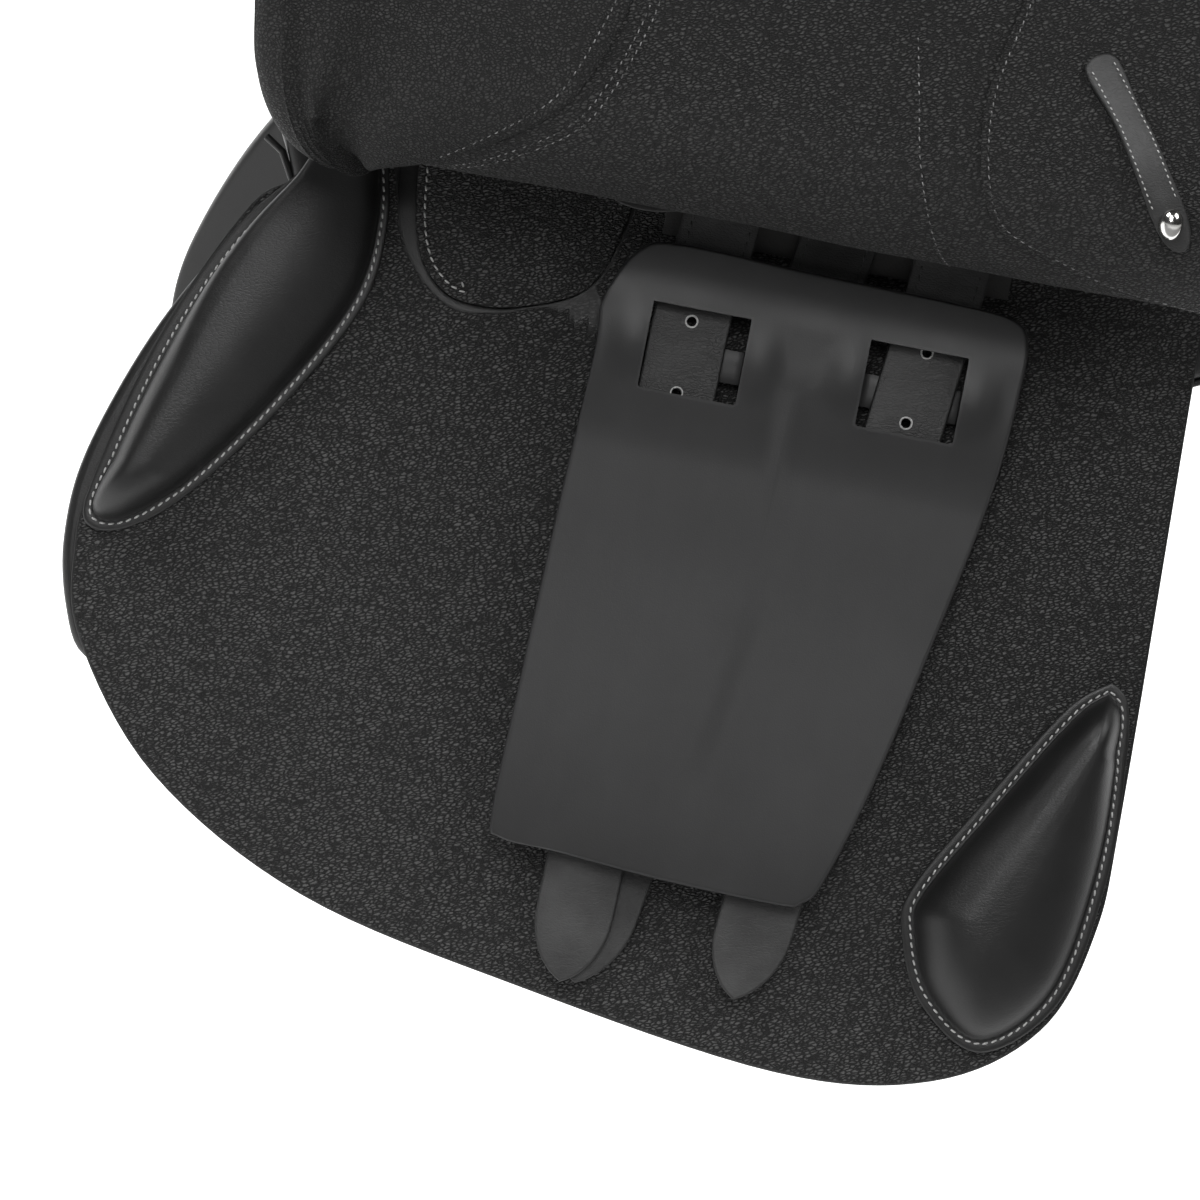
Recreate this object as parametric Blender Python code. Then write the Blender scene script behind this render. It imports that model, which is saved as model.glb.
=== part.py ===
"""A jumping saddle with double flaps, in metres.

The front is at -X, the left side at -Y and up is +Z. The origin lies in the middle of the channel
between the panels, level with the line where the panels bear on the back. The left outer flap is
lifted and rolled over, and the right one hangs down.
"""
import math

import bmesh
import bpy
from mathutils import Euler, Vector

MM = 0.001
GAP = 0.3 * MM  # between pieces that touch

# Seat
POMMEL_X = -0.236
CANTLE_X = 0.262
POMMEL_Z = 0.178
SEAT_LOW_Z = 0.125
CANTLE_Z = 0.205
POMMEL_HALF_WIDTH = 0.052
TWIST_HALF_WIDTH = 0.070
SEAT_HALF_WIDTH = 0.138
SEAT_THICKNESS = 0.030
SEAT_SIDE_HEIGHT = 0.012
SEAT_LEATHER = 2.5 * MM

# Tree
TREE_THICKNESS = 0.012
TREE_SETBACK_FRONT = 0.006
TREE_SETBACK_REAR = 0.012
TREE_OPENING_LENGTH = 0.200
TREE_OPENING_WIDTH = 0.072
TREE_OPENING_X = 0.015
GULLET_PLATE_THICKNESS = 3 * MM
GULLET_PLATE_LENGTH = 0.040
WEB_THICKNESS = 2.2 * MM
STATION_PITCH = 0.034

# Side plane, in which the flaps lie: s runs down it from the hinge line and n points outward
FLARE = math.radians(15)
HINGE_Y = 0.125
HINGE_Z = 0.025
PLANE_X = -0.100  # saddle X where x of the side plane is zero
FLANK_HEIGHT = 0.038
FLANK_END_X = 0.104
FLANK_SWEEP = 0.070  # length over which the flank rises to the cantle

# Panels
CHANNEL_HALF_WIDTH = 0.031
PANEL_DROP = 0.150
PANEL_THICKNESS = 0.036

# Sweat flap and what is sewn on it
SWEAT_THICKNESS = 3.5 * MM
SWEAT_LENGTH = 0.311
SWEAT_FRONT = -0.165
SWEAT_REAR = 0.197
KNEE_BLOCK_HEIGHT = 20.5 * MM
THIGH_BLOCK_HEIGHT = 18 * MM
POCKET_THICKNESS = 4 * MM
CUTOUT_CENTRE = (-0.040, 0.030)
CUTOUT_RADII = (0.040, 0.054)

# Girth straps and guard
WEBBING_THICKNESS = 1.4 * MM
BILLET_THICKNESS = 3.2 * MM
MIDDLE_BILLET_THICKNESS = 2.6 * MM
BILLET_WIDTH = 0.026
BILLET_TOP = 0.0045  # leaves the straps room to swing under the tree
BILLET_SWING_X = 0.0592
BILLET_SWING_S = 0.012
GUARD_THICKNESS = 3.4 * MM
GUARD_WINDOW_WIDTH = 0.033
GUARD_WINDOW_HEIGHT = 0.029
GUARD_WINDOW_S = 0.067
GUARD_REAR_RISE = 0.001  # the rear window sits this much higher
GUARD_BRIDGE_HEIGHT = 0.011
GUARD_UPPER_SLIT = 0.011
BRIDGE_LAP = 1.5 * MM  # by which a bridge is joined to the guard beyond the window
BRIDGE_INSET = 0.8 * MM

# Outer flap
FLAP_N = 0.028
FLAP_THICKNESS = 3 * MM
FLAP_LENGTH = 0.318
FLAP_TOP = 0.022
BEND_RADIUS = 0.038
FLAP_TURN = math.radians(195)
BEND_HINGES = 3
LINING_THICKNESS = 1.2 * MM
FLAP_PAD_HEIGHT = 0.009
KEEPER_WIDTH = 0.010
KEEPER_THICKNESS = 2.2 * MM
STUD_RADIUS = 4 * MM

# Skirt
SKIRT_THICKNESS = 3.2 * MM
SKIRT_FRONT_X = -0.192
SKIRT_REAR_X = 0.118
SKIRT_DROP = 0.008
SKIRT_N = 0.0323

# Metal parts
BAR_FRONT_X = -0.184
BAR_REAR_X = -0.118
BAR_RADIUS = 3.8 * MM
BAR_S = -0.031
BAR_N = 0.0385
BAR_PLATE_HEIGHT = 0.013
BAR_PLATE_THICKNESS = 2.2 * MM
CATCH_LENGTH = 0.022
CATCH_WIDTH = 0.010
CATCH_THICKNESS = 4 * MM
CATCH_KNUCKLE = 3.6 * MM
DEE_WIDTH = 0.028
DEE_WIRE_RADIUS = 1.7 * MM
DEE_X = -0.2165
DEE_S = -0.029
CHAPE_WIDTH = 0.014
CHAPE_THICKNESS = 1.8 * MM

# Where the tree's flank lies between the two flaps
FLANK_INNER_N = SWEAT_THICKNESS + GAP
FLANK_OUTER_N = FLAP_N - FLAP_THICKNESS / 2 - GAP

# Levels of the layers on the sweat flap, measured outward from the side plane
ON_SWEAT = SWEAT_THICKNESS + GAP
ON_WEBBING = ON_SWEAT + WEBBING_THICKNESS + GAP
BILLET_N = ON_WEBBING + MIDDLE_BILLET_THICKNESS + GAP
GUARD_N = BILLET_N + BILLET_THICKNESS + GAP
BRIDGE_N = BILLET_N - GAP - GUARD_THICKNESS

BEND_STEP = FLAP_TURN / BEND_HINGES
BEND_STEP_LENGTH = BEND_RADIUS * BEND_STEP
BEND_LENGTH = BEND_RADIUS * FLAP_TURN

SIDES = ("left", "right")

for leftover in list(bpy.data.objects):
    bpy.data.objects.remove(leftover, do_unlink=True)

saddle = bpy.data.collections.new("jumping_saddle")
cutters = bpy.data.collections.new("cutters")
bpy.context.scene.collection.children.link(saddle)
bpy.context.scene.collection.children.link(cutters)


# Materials

def finish(name, colour, roughness, metallic=0.0):
    """Principled material of one colour."""
    material = bpy.data.materials.new(name)
    material.use_nodes = True
    shader = material.node_tree.nodes["Principled BSDF"]
    shader.inputs["Base Color"].default_value = (*colour, 1.0)
    shader.inputs["Roughness"].default_value = roughness
    shader.inputs["Metallic"].default_value = metallic
    return material


GRAINED = finish("grained_leather", (0.020, 0.019, 0.019), 0.55)
CALF = finish("smooth_calf", (0.030, 0.029, 0.029), 0.42)
LINING = finish("lining_leather", (0.026, 0.025, 0.025), 0.5)
GUARD_LEATHER = finish("guard_leather", (0.045, 0.045, 0.046), 0.45)
STRAP = finish("strap_leather", (0.018, 0.017, 0.017), 0.5)
WEBBING = finish("woven_webbing", (0.030, 0.030, 0.031), 0.85)
FOAM = finish("seat_foam", (0.60, 0.56, 0.46), 0.9)
WOOD = finish("laminated_tree", (0.36, 0.22, 0.11), 0.6)
STEEL = finish("tree_steel", (0.30, 0.30, 0.31), 0.4, 1.0)
NICKEL = finish("polished_nickel", (0.75, 0.74, 0.72), 0.18, 1.0)


# Building blocks

def smoothstep(low, high, value):
    """Rises smoothly from 0 at low to 1 at high."""
    share = min(max((value - low) / (high - low), 0.0), 1.0)
    return share * share * (3 - 2 * share)


def mix(a, b, share):
    """Point or number between a and b."""
    if isinstance(a, tuple):
        return tuple(p + (q - p) * share for p, q in zip(a, b))
    return a + (b - a) * share


def through(knots, at):
    """Value at a place on the smooth line through (place, value) knots."""
    if at <= knots[0][0]:
        return knots[0][1]
    if at >= knots[-1][0]:
        return knots[-1][1]
    index = max(i for i in range(len(knots) - 1) if knots[i][0] <= at)

    def slope(i):
        before, after = knots[max(i - 1, 0)], knots[min(i + 1, len(knots) - 1)]
        return (after[1] - before[1]) / (after[0] - before[0])

    (x0, v0), (x1, v1) = knots[index], knots[index + 1]
    width = x1 - x0
    t = (at - x0) / width
    return ((2 * t**3 - 3 * t**2 + 1) * v0 + (t**3 - 2 * t**2 + t) * width * slope(index)
            + (3 * t**2 - 2 * t**3) * v1 + (t**3 - t**2) * width * slope(index + 1))


def curve_through(points, steps, closed=False):
    """Points along a smooth curve through the given points, with steps to each span."""
    count = len(points)
    spans = count if closed else count - 1
    result = []
    for span in range(spans):
        if closed:
            p0, p1, p2, p3 = (points[(span + k) % count] for k in (-1, 0, 1, 2))
        else:
            p0, p1 = points[max(span - 1, 0)], points[span]
            p2, p3 = points[span + 1], points[min(span + 2, count - 1)]
        for step in range(steps):
            t = step / steps
            result.append(tuple(
                0.5 * (2 * b + (c - a) * t + (2 * a - 5 * b + 4 * c - d) * t**2
                       + (3 * b - a - 3 * c + d) * t**3)
                for a, b, c, d in zip(p0, p1, p2, p3)))
    if not closed:
        result.append(tuple(points[-1]))
    return result


def add_object(name, mesh, material, collection=saddle):
    """Object for a mesh, in its collection and with its material."""
    obj = bpy.data.objects.new(name, mesh)
    collection.objects.link(obj)
    if collection is cutters:
        obj.hide_render = True
        obj.display_type = "WIRE"
    else:
        mesh.materials.append(material)
    return obj


def smooth_faces(mesh, angle=35):
    """Smooth shading that keeps edges sharper than the angle."""
    mesh.shade_smooth()
    mesh.set_sharp_from_angle(angle=math.radians(angle))


def mesh_from(shape, name):
    """Mesh of a bmesh whose faces are turned to point outward."""
    bmesh.ops.recalc_face_normals(shape, faces=shape.faces[:])
    mesh = bpy.data.meshes.new(name)
    shape.to_mesh(mesh)
    shape.free()
    return mesh


def loft(name, rings, material, collection=saddle, origin=None):
    """Solid skinned over closed rings of points, with a face on each end ring.

    Each face is split on its shorter diagonal, so that layers on one form have the same facets.
    """
    origin = Vector(origin or (0, 0, 0))
    shape = bmesh.new()
    loops = [[shape.verts.new(Vector(point) - origin) for point in ring] for ring in rings]
    for loop, following in zip(loops, loops[1:]):
        for i, vertex in enumerate(loop):
            j = (i + 1) % len(loop)
            shape.faces.new((vertex, loop[j], following[j], following[i]))
    shape.faces.new(loops[0])
    shape.faces.new(loops[-1])
    bmesh.ops.triangulate(shape, faces=shape.faces[:], quad_method="SHORT_EDGE")
    mesh = mesh_from(shape, name)
    smooth_faces(mesh)
    obj = add_object(name, mesh, material, collection)
    obj.location = origin
    return obj


def cut(obj, cutter, operation="DIFFERENCE"):
    """Boolean of an object with a cutter."""
    boolean = obj.modifiers.new(cutter.name, "BOOLEAN")
    boolean.operation = operation
    boolean.object = cutter
    boolean.solver = "EXACT"


def outline_mesh(name, outlines, thickness, resolution=3):
    """Flat solid centred on its own XY plane: the first outline is its edge, others are holes.

    A point is (x, y), or (x, y, True) where the outline has a corner.
    """
    data = bpy.data.curves.new(name, "CURVE")
    data.dimensions = "2D"
    data.fill_mode = "BOTH"
    data.extrude = thickness / 2
    data.resolution_u = resolution
    for outline in outlines:
        spline = data.splines.new("BEZIER")
        spline.bezier_points.add(len(outline) - 1)
        spline.use_cyclic_u = True
        for point, place in zip(spline.bezier_points, outline):
            point.co = (place[0], place[1], 0)
            kind = "VECTOR" if len(place) > 2 else "AUTO"
            point.handle_left_type = kind
            point.handle_right_type = kind
    return mesh_of_curve(name, data)


def mesh_of_curve(name, data):
    """Closed mesh of a curve, whose loose caps are welded on."""
    guide = bpy.data.objects.new(name + "_guide", data)
    bpy.context.scene.collection.objects.link(guide)
    bpy.context.view_layer.update()
    evaluated = guide.evaluated_get(bpy.context.evaluated_depsgraph_get())
    mesh = bpy.data.meshes.new_from_object(evaluated)
    bpy.data.objects.remove(guide, do_unlink=True)
    shape = bmesh.new()
    shape.from_mesh(mesh)
    bmesh.ops.remove_doubles(shape, verts=shape.verts[:], dist=0.00001)
    return mesh_from(shape, name)


def wire_mesh(name, points, radius, closed=False, resolution=2):
    """Round bar of the given radius along a path."""
    data = bpy.data.curves.new(name, "CURVE")
    data.dimensions = "3D"
    data.bevel_depth = radius
    data.bevel_resolution = resolution
    data.use_fill_caps = True
    spline = data.splines.new("POLY")
    spline.points.add(len(points) - 1)
    spline.use_cyclic_u = closed
    for point, place in zip(spline.points, points):
        point.co = (*place, 1)
    mesh = mesh_of_curve(name, data)
    smooth_faces(mesh, 60)
    return mesh


# The two sides share one plane each, drawn by (x, s, n)

side_frames = {}
for side in SIDES:
    frame = bpy.data.objects.new("side_frame_" + side, None)
    saddle.objects.link(frame)
    frame.location = (0, -HINGE_Y if side == "left" else HINGE_Y, HINGE_Z)
    frame.rotation_euler = Euler((math.pi / 2 - FLARE, 0, 0 if side == "left" else math.pi))
    side_frames[side] = frame
bpy.context.view_layer.update()


def hand(side):
    """Sign by which a side's X is turned in its own frame."""
    return 1 if side == "left" else -1


def in_plane(side, x, s, n=0.0):
    """Place in a side's own frame of a point of the side plane."""
    return Vector((hand(side) * (x + PLANE_X), -s, n))


def place(side, x, s, n=0.0):
    """World place of a point of the side plane."""
    return side_frames[side].matrix_world @ in_plane(side, x, s, n)


def section(s, n):
    """The (y, z) of a point of the right side plane."""
    return (HINGE_Y + s * math.sin(FLARE) + n * math.cos(FLARE),
            HINGE_Z - s * math.cos(FLARE) + n * math.sin(FLARE))


def side_object(side, name, mesh, material, x=0.0, s=0.0, n=0.0):
    """Object in a side's frame, with its origin at a point of the side plane."""
    obj = add_object(name + "_" + side, mesh, material)
    obj.parent = side_frames[side]
    obj.location = in_plane(side, x, s, n)
    return obj


def plate(side, name, outlines, n, thickness, material, pivot=(0.0, 0.0), resolution=3):
    """Piece cut from sheet that lies n above the side plane, with its origin at the pivot."""
    drawn = [[(hand(side) * (p[0] - pivot[0]), pivot[1] - p[1], *p[2:]) for p in outline]
             for outline in outlines]
    mesh = outline_mesh(name + "_" + side, drawn, thickness, resolution)
    for vertex in mesh.vertices:
        vertex.co.z += thickness / 2
    return side_object(side, name, mesh, material, *pivot, n)


def strip(side, name, rings, material, pivot):
    """Piece skinned over rings of (x, s, n) points, with its origin at the (x, s, n) pivot."""
    origin = in_plane(side, *pivot)
    obj = loft(name + "_" + side,
               [[in_plane(side, *point) for point in ring] for ring in rings],
               material, origin=origin)
    obj.parent = side_frames[side]
    return obj


def box(side, name, x0, x1, s0, s1, n0, n1, material, collection=saddle):
    """Block square to the side plane."""
    shape = bmesh.new()
    bmesh.ops.create_cube(shape, size=1)
    for vertex in shape.verts:
        vertex.co = (vertex.co.x * (x1 - x0), vertex.co.y * (s1 - s0), vertex.co.z * (n1 - n0))
    mesh = mesh_from(shape, name)
    obj = add_object(name + "_" + side, mesh, material, collection)
    obj.parent = side_frames[side]
    obj.location = in_plane(side, (x0 + x1) / 2, (s0 + s1) / 2, (n0 + n1) / 2)
    return obj


# Form of the seat, tree and panels, read at one X

# Height of the seat's middle
SEAT_LINE = (
    (POMMEL_X, POMMEL_Z - 0.022),
    (POMMEL_X + 0.020, POMMEL_Z),
    (-0.150, mix(POMMEL_Z, SEAT_LOW_Z, 0.48)),
    (-0.070, mix(POMMEL_Z, SEAT_LOW_Z, 0.86)),
    (0.005, SEAT_LOW_Z),
    (0.085, mix(SEAT_LOW_Z, CANTLE_Z, 0.12)),
    (0.160, mix(SEAT_LOW_Z, CANTLE_Z, 0.50)),
    (0.210, mix(SEAT_LOW_Z, CANTLE_Z, 0.87)),
    (CANTLE_X - 0.024, CANTLE_Z),
    (CANTLE_X, CANTLE_Z - 0.014))
# Height of the seat's lower edge
WELT_LINE = (
    (POMMEL_X, POMMEL_Z - 0.036),
    (POMMEL_X + 0.020, POMMEL_Z - 0.030),
    (-0.150, 0.127), (-0.070, 0.111), (0.005, 0.105), (0.085, 0.110), (0.160, 0.136), (0.210, 0.158),
    (CANTLE_X - 0.024, 0.170),
    (CANTLE_X, 0.172))
# Half of the seat's width
WIDTH_LINE = (
    (POMMEL_X, POMMEL_HALF_WIDTH - 0.012),
    (POMMEL_X + 0.020, POMMEL_HALF_WIDTH),
    (-0.130, 0.062),
    (-0.070, TWIST_HALF_WIDTH),
    (0.005, 0.092), (0.085, 0.120),
    (0.160, SEAT_HALF_WIDTH - 0.002),
    (0.205, SEAT_HALF_WIDTH),
    (CANTLE_X - 0.022, SEAT_HALF_WIDTH - 0.018),
    (CANTLE_X, SEAT_HALF_WIDTH - 0.050))
# Height of the panels' inner edge over the back
CHANNEL_LINE = (
    (POMMEL_X, 0.052), (-0.150, 0.018), (-0.050, 0.001), (0.020, 0.0), (0.110, 0.012), (0.190, 0.048),
    (CANTLE_X, 0.098))
# How far the panel reaches down the sweat flap, as a share of its full drop
PANEL_DROP_LINE = (
    (POMMEL_X, 0.50), (-0.190, 0.86), (-0.120, 1.0), (-0.040, 0.92), (0.040, 0.62), (0.104, 0.36),
    (0.160, 0.30))

TREE_FRONT = POMMEL_X + TREE_SETBACK_FRONT
TREE_REAR = CANTLE_X - TREE_SETBACK_REAR


def stations(front, rear):
    """Places along X of the cross-sections between two ends, shared by all layers."""
    count = math.ceil((CANTLE_X - POMMEL_X) / STATION_PITCH)
    places = [POMMEL_X + (CANTLE_X - POMMEL_X) * i / count for i in range(count + 1)]
    places += [TREE_FRONT, TREE_REAR, FLANK_END_X, FLANK_END_X + FLANK_SWEEP / 2]
    inside = [x for x in places if front + MM < x < rear - MM]
    return sorted({front, rear, *inside})


def welt_height(x):
    """Height of the seat's lower edge."""
    return through(WELT_LINE, x)


def seat_top(x, inset=0.0):
    """Half-section of the seat's upper face, from the middle to the welt."""
    width = through(WIDTH_LINE, x) - inset
    top = through(SEAT_LINE, x) - inset
    edge = welt_height(x) - inset
    corners = [(0.0, top), (0.5 * width, mix(top, edge, 0.06)), (0.84 * width, mix(top, edge, 0.36)),
               (width, edge)]
    return curve_through(corners, 3)


def cantle_share(x):
    """0 where the tree's flank follows the side plane, 1 where it is tucked under the cantle."""
    return smoothstep(FLANK_END_X, FLANK_END_X + FLANK_SWEEP, x)


def tree_face(x, depth, flank_n, lift=0.0):
    """Half-section of a face of the tree, from the middle to the foot of its flank."""
    width = through(WIDTH_LINE, x)
    middle = through(SEAT_LINE, x) - SEAT_THICKNESS - depth
    shoulder = welt_height(x) - SEAT_SIDE_HEIGHT - depth
    tuck = cantle_share(x)
    inward = depth * 1.2
    flank_top = mix(section(-FLANK_HEIGHT, flank_n), (width - inward - 0.0025, shoulder - 0.007), tuck)
    flank_foot = mix(section(0.0, flank_n), (width - inward - 0.008, shoulder - 0.014), tuck)
    corners = [(0.0, middle), (0.5 * width, mix(middle, shoulder, 0.30)),
               (width - inward * mix(0.4, 1.1, tuck), shoulder)]
    points = curve_through(corners, 4)
    crown = 1.5 * MM
    slope = [(y, z + crown) for y, z in (mix(corners[-1], flank_top, share) for share in (0.33, 0.67))]
    points += slope + [flank_top, flank_foot]
    return [(y, z + lift) for y, z in points]


SEAT_SAMPLES = 9  # points of a tree section that lie under the seat
PANEL_FIRST = 4  # the first of them that lies over a panel


def on_facets(x, *form):
    """Half-section of the tree anywhere along it, on the flat facets between two stations."""
    shared = stations(POMMEL_X, CANTLE_X)
    before = max(place for place in shared if place <= x)
    after = min(place for place in shared if place >= x)
    share = (x - before) / (after - before) if after > before else 0.0
    return [mix(p, q, share) for p, q in zip(tree_face(before, *form), tree_face(after, *form))]


def tree_top(x, lift=0.0):
    """Half-section of the tree's upper face."""
    return on_facets(x, 0.0, FLANK_OUTER_N, lift)


def tree_underside(x, lift=0.0):
    """Half-section of the tree's lower face."""
    return on_facets(x, TREE_THICKNESS, FLANK_INNER_N, lift)


def whole(half, x):
    """Full section from the left edge to the right edge."""
    return [(x, -y, z) for y, z in reversed(half[1:])] + [(x, y, z) for y, z in half]


def between_faces(upper, lower, x):
    """Closed ring between an upper and a lower half-section."""
    return whole(upper, x) + list(reversed(whole(lower, x)))


# Tree, with its gullet plate and the web across its opening

def opening_cutter(name, margin):
    """Upright prism with the outline of the tree's opening."""
    half_length = TREE_OPENING_LENGTH / 2 - margin
    half_width = TREE_OPENING_WIDTH / 2 - margin
    corners = [(1.0, 0.35), (0.72, 0.94), (0.0, 1.0), (-0.72, 0.94), (-1.0, 0.35)]
    outline = [(half_length * x, half_width * y) for x, y in corners]
    outline += [(half_length * x, -half_width * y) for x, y in reversed(corners)]
    mesh = outline_mesh(name, [outline], 0.3, resolution=3)
    cutter = add_object(name, mesh, None, cutters)
    cutter.location = (TREE_OPENING_X, 0, SEAT_LOW_Z)
    return cutter


def make_tree():
    """Moulded tree, an arch from flank to flank with an opening under the seat."""
    rings = [between_faces(tree_top(x), tree_underside(x), x) for x in stations(TREE_FRONT, TREE_REAR)]
    tree = loft("tree", rings, WOOD)
    cut(tree, opening_cutter("tree_opening", 0.0))


def make_seat_web():
    """Straining web that closes the tree's opening and carries the seat foam."""
    margin = 0.02
    front = TREE_OPENING_X - TREE_OPENING_LENGTH / 2 - margin
    rear = TREE_OPENING_X + TREE_OPENING_LENGTH / 2 + margin
    rings = [between_faces(tree_top(x)[:SEAT_SAMPLES], tree_top(x, -WEB_THICKNESS)[:SEAT_SAMPLES], x)
             for x in stations(front, rear)]
    web = loft("seat_web", rings, WEBBING)
    cut(web, opening_cutter("web_outline", GAP), "INTERSECT")


def make_gullet_plate():
    """Steel arch under the head of the tree, between the panels."""
    front = TREE_FRONT + 0.004
    rings = [between_faces(tree_underside(x, -GAP)[:PANEL_FIRST],
                           tree_underside(x, -GAP - GULLET_PLATE_THICKNESS)[:PANEL_FIRST], x)
             for x in stations(front, front + GULLET_PLATE_LENGTH)]
    loft("gullet_plate", rings, STEEL)


# Seat

def make_seat():
    """Leather cover, drawn down over foam that lies on the tree and its web."""
    rings = [between_faces(seat_top(x), tree_top(x, GAP)[:SEAT_SAMPLES], x)
             for x in stations(POMMEL_X, CANTLE_X)]
    cover = loft("seat_cover", rings, CALF)
    front, rear = POMMEL_X + SEAT_LEATHER, CANTLE_X - SEAT_LEATHER
    below = 0.02
    cavity_rings = []
    for x in stations(front, rear):
        top = seat_top(x, SEAT_LEATHER)
        floor = [(y, tree_top(x)[SEAT_SAMPLES - 1][1] - below) for y, z in top]
        cavity_rings.append(between_faces(top, floor, x))
    cut(cover, loft("seat_cavity", cavity_rings, None, cutters))
    inset = SEAT_LEATHER + GAP
    foam_rings = [between_faces(seat_top(x, inset), tree_top(x, GAP)[:SEAT_SAMPLES - 1], x)
                  for x in stations(POMMEL_X + inset, CANTLE_X - inset)]
    loft("seat_foam", foam_rings, FOAM)


# Panels

def panel_ring(x):
    """Half-section of a panel: under the tree, down the sweat flap and back along the horse."""
    tuck = cantle_share(x)
    width = through(WIDTH_LINE, x)
    channel = through(CHANNEL_LINE, x)
    drop = PANEL_DROP * through(PANEL_DROP_LINE, x)
    under = [(y - GAP, z) for y, z in tree_underside(x, -GAP)]
    foot = (under[-1][0] - 0.005, under[-1][1] - 0.008)
    tucked_step = (under[-2][0] - 0.004, under[-2][1] - 0.003)
    ease = 0.018 * tuck * (1 - tuck)  # room where the flank sweeps up
    top = under[PANEL_FIRST:-2]
    step = mix(section(-FLANK_HEIGHT + 0.004, FLANK_INNER_N - 2 * MM), tucked_step, tuck)
    edge = mix(section(-FLANK_HEIGHT + 0.010, -GAP), foot, tuck)
    top += [(step[0] - ease, step[1]), (edge[0] - ease, edge[1])]
    wall = (foot[1] - channel) * 0.7
    outer = []
    for share in (0.10, 0.50, 0.95):
        bulge = 0.006 * math.sin(math.pi * share)
        tucked = (foot[0] + bulge, foot[1] - wall * share)
        outer.append(mix(section(drop * share, -GAP), tucked, tuck))
    inner = [
        mix(section(drop, -0.006), (foot[0] - 0.010, channel + 0.008), tuck),
        mix(section(0.93 * drop, -0.016), (foot[0] - 0.026, channel + 0.002), tuck),
        mix(section(0.60 * drop, -PANEL_THICKNESS), (mix(foot[0], 0.050, 0.55), channel), tuck),
        mix(section(0.22 * drop, -PANEL_THICKNESS - 0.012), (mix(foot[0], 0.050, 0.80), channel), tuck),
        (CHANNEL_HALF_WIDTH + 0.012, channel - 0.003 * (1 - tuck)),
        (CHANNEL_HALF_WIDTH + 0.001, channel + 0.007),
        (max(CHANNEL_HALF_WIDTH, top[0][0]) + 0.001, top[0][1] - 0.010)]
    return top + outer + inner


def make_panel(side):
    """Wool-filled cushion under one side of the tree."""
    sign = -1 if side == "left" else 1
    rings = []
    for x in stations(TREE_FRONT, TREE_REAR):
        rings.append([(x, sign * y, z) for y, z in panel_ring(x)])
    loft("panel_" + side, rings, CALF)


# Outlines in the side plane, as (x, s)

def sweat_outline():
    """Edge of the sweat flap."""
    top = -0.025
    return [
        (-0.098, top, True), (-0.107, 0.040), (-0.126, 0.060), (-0.150, 0.112), (SWEAT_FRONT, 0.182),
        (-0.157, 0.212), (-0.122, 0.253), (-0.066, 0.283), (0.010, 0.299), (0.100, SWEAT_LENGTH),
        (0.152, 0.304), (0.184, 0.281), (SWEAT_REAR - 0.001, 0.246), (SWEAT_REAR, 0.200),
        (SWEAT_REAR - 0.004, 0.050), (SWEAT_REAR - 0.005, top, True)]


def cutout_outline(margin=0.0):
    """Round-bottomed opening of the sweat flap over the tree point."""
    x, s = CUTOUT_CENTRE
    wide, deep = (radius - margin for radius in CUTOUT_RADII)
    top = 0.006 + margin
    return [(x + wide, top, True), (x + wide, s), (x + 0.72 * wide, s + 0.70 * deep), (x, s + deep),
            (x - 0.72 * wide, s + 0.70 * deep), (x - wide, s), (x - wide, top, True)]


def pocket_outline():
    """Point pocket, whose rounded end leaves a crescent of the cut-out open."""
    return [(-0.010, 0.007, True), (-0.006, 0.055), (-0.020, 0.069), (-0.046, 0.0765), (-0.063, 0.070),
            (-0.073, 0.050), (-0.076, 0.007, True)]


KNEE_OUTLINE = ((-0.104, 0.012), (-0.110, 0.040), (-0.132, 0.072), (-0.150, 0.113), (-0.1605, 0.158),
                (-0.159, 0.173), (-0.145, 0.171), (-0.128, 0.155), (-0.104, 0.121), (-0.087, 0.086),
                (-0.084, 0.060), (-0.090, 0.034), (-0.092, 0.012))
KNEE_SPINE = ((-0.101, 0.030), (-0.119, 0.078), (-0.146, 0.148))
THIGH_OUTLINE = ((0.1855, 0.164), (0.1925, 0.187), (0.1945, 0.225), (0.186, 0.269), (0.164, 0.2895),
                 (0.144, 0.277), (0.1345, 0.256), (0.135, 0.242), (0.152, 0.213), (0.176, 0.171))
THIGH_SPINE = ((0.183, 0.180), (0.176, 0.215), (0.163, 0.255))
GUARD_OUTLINE = ((0.004, 0.049), (-0.0055, 0.069), (-0.0045, 0.086), (-0.0065, 0.138), (-0.0085, 0.228),
                 (-0.008, 0.249), (0.000, 0.2525), (0.050, 0.256), (0.092, 0.256), (0.101, 0.251),
                 (0.106, 0.238), (0.124, 0.163), (0.1345, 0.108), (0.137, 0.070), (0.134, 0.054),
                 (0.124, 0.0485), (0.060, 0.047))


def billet_outline(top_x, tip_x, top_s, tip_s):
    """Strap with a pointed tip, which runs from its top centre to its tip."""
    length = tip_s - top_s
    point_length = 0.028

    def across(share, offset):
        return (mix(top_x, tip_x, share) + offset, mix(top_s, tip_s, share))

    half = BILLET_WIDTH / 2
    start = 1 - point_length / length
    return [(*across(0, -half + 0.002), True), across(0.12, -half), (*across(start, -half), True),
            across(1 - 0.010 / length, -half * 0.45), (*across(1, 0), True),
            across(1 - 0.010 / length, half * 0.45), (*across(start, half), True), across(0.12, half),
            (*across(0, half - 0.002), True)]


# Sweat flap with its blocks and pocket

def make_sweat_flap(side):
    """Grained flap that lies on the horse, with the cut-out over the tree point."""
    plate(side, "sweat_flap", [sweat_outline(), cutout_outline()], 0.0, SWEAT_THICKNESS, GRAINED)


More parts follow.
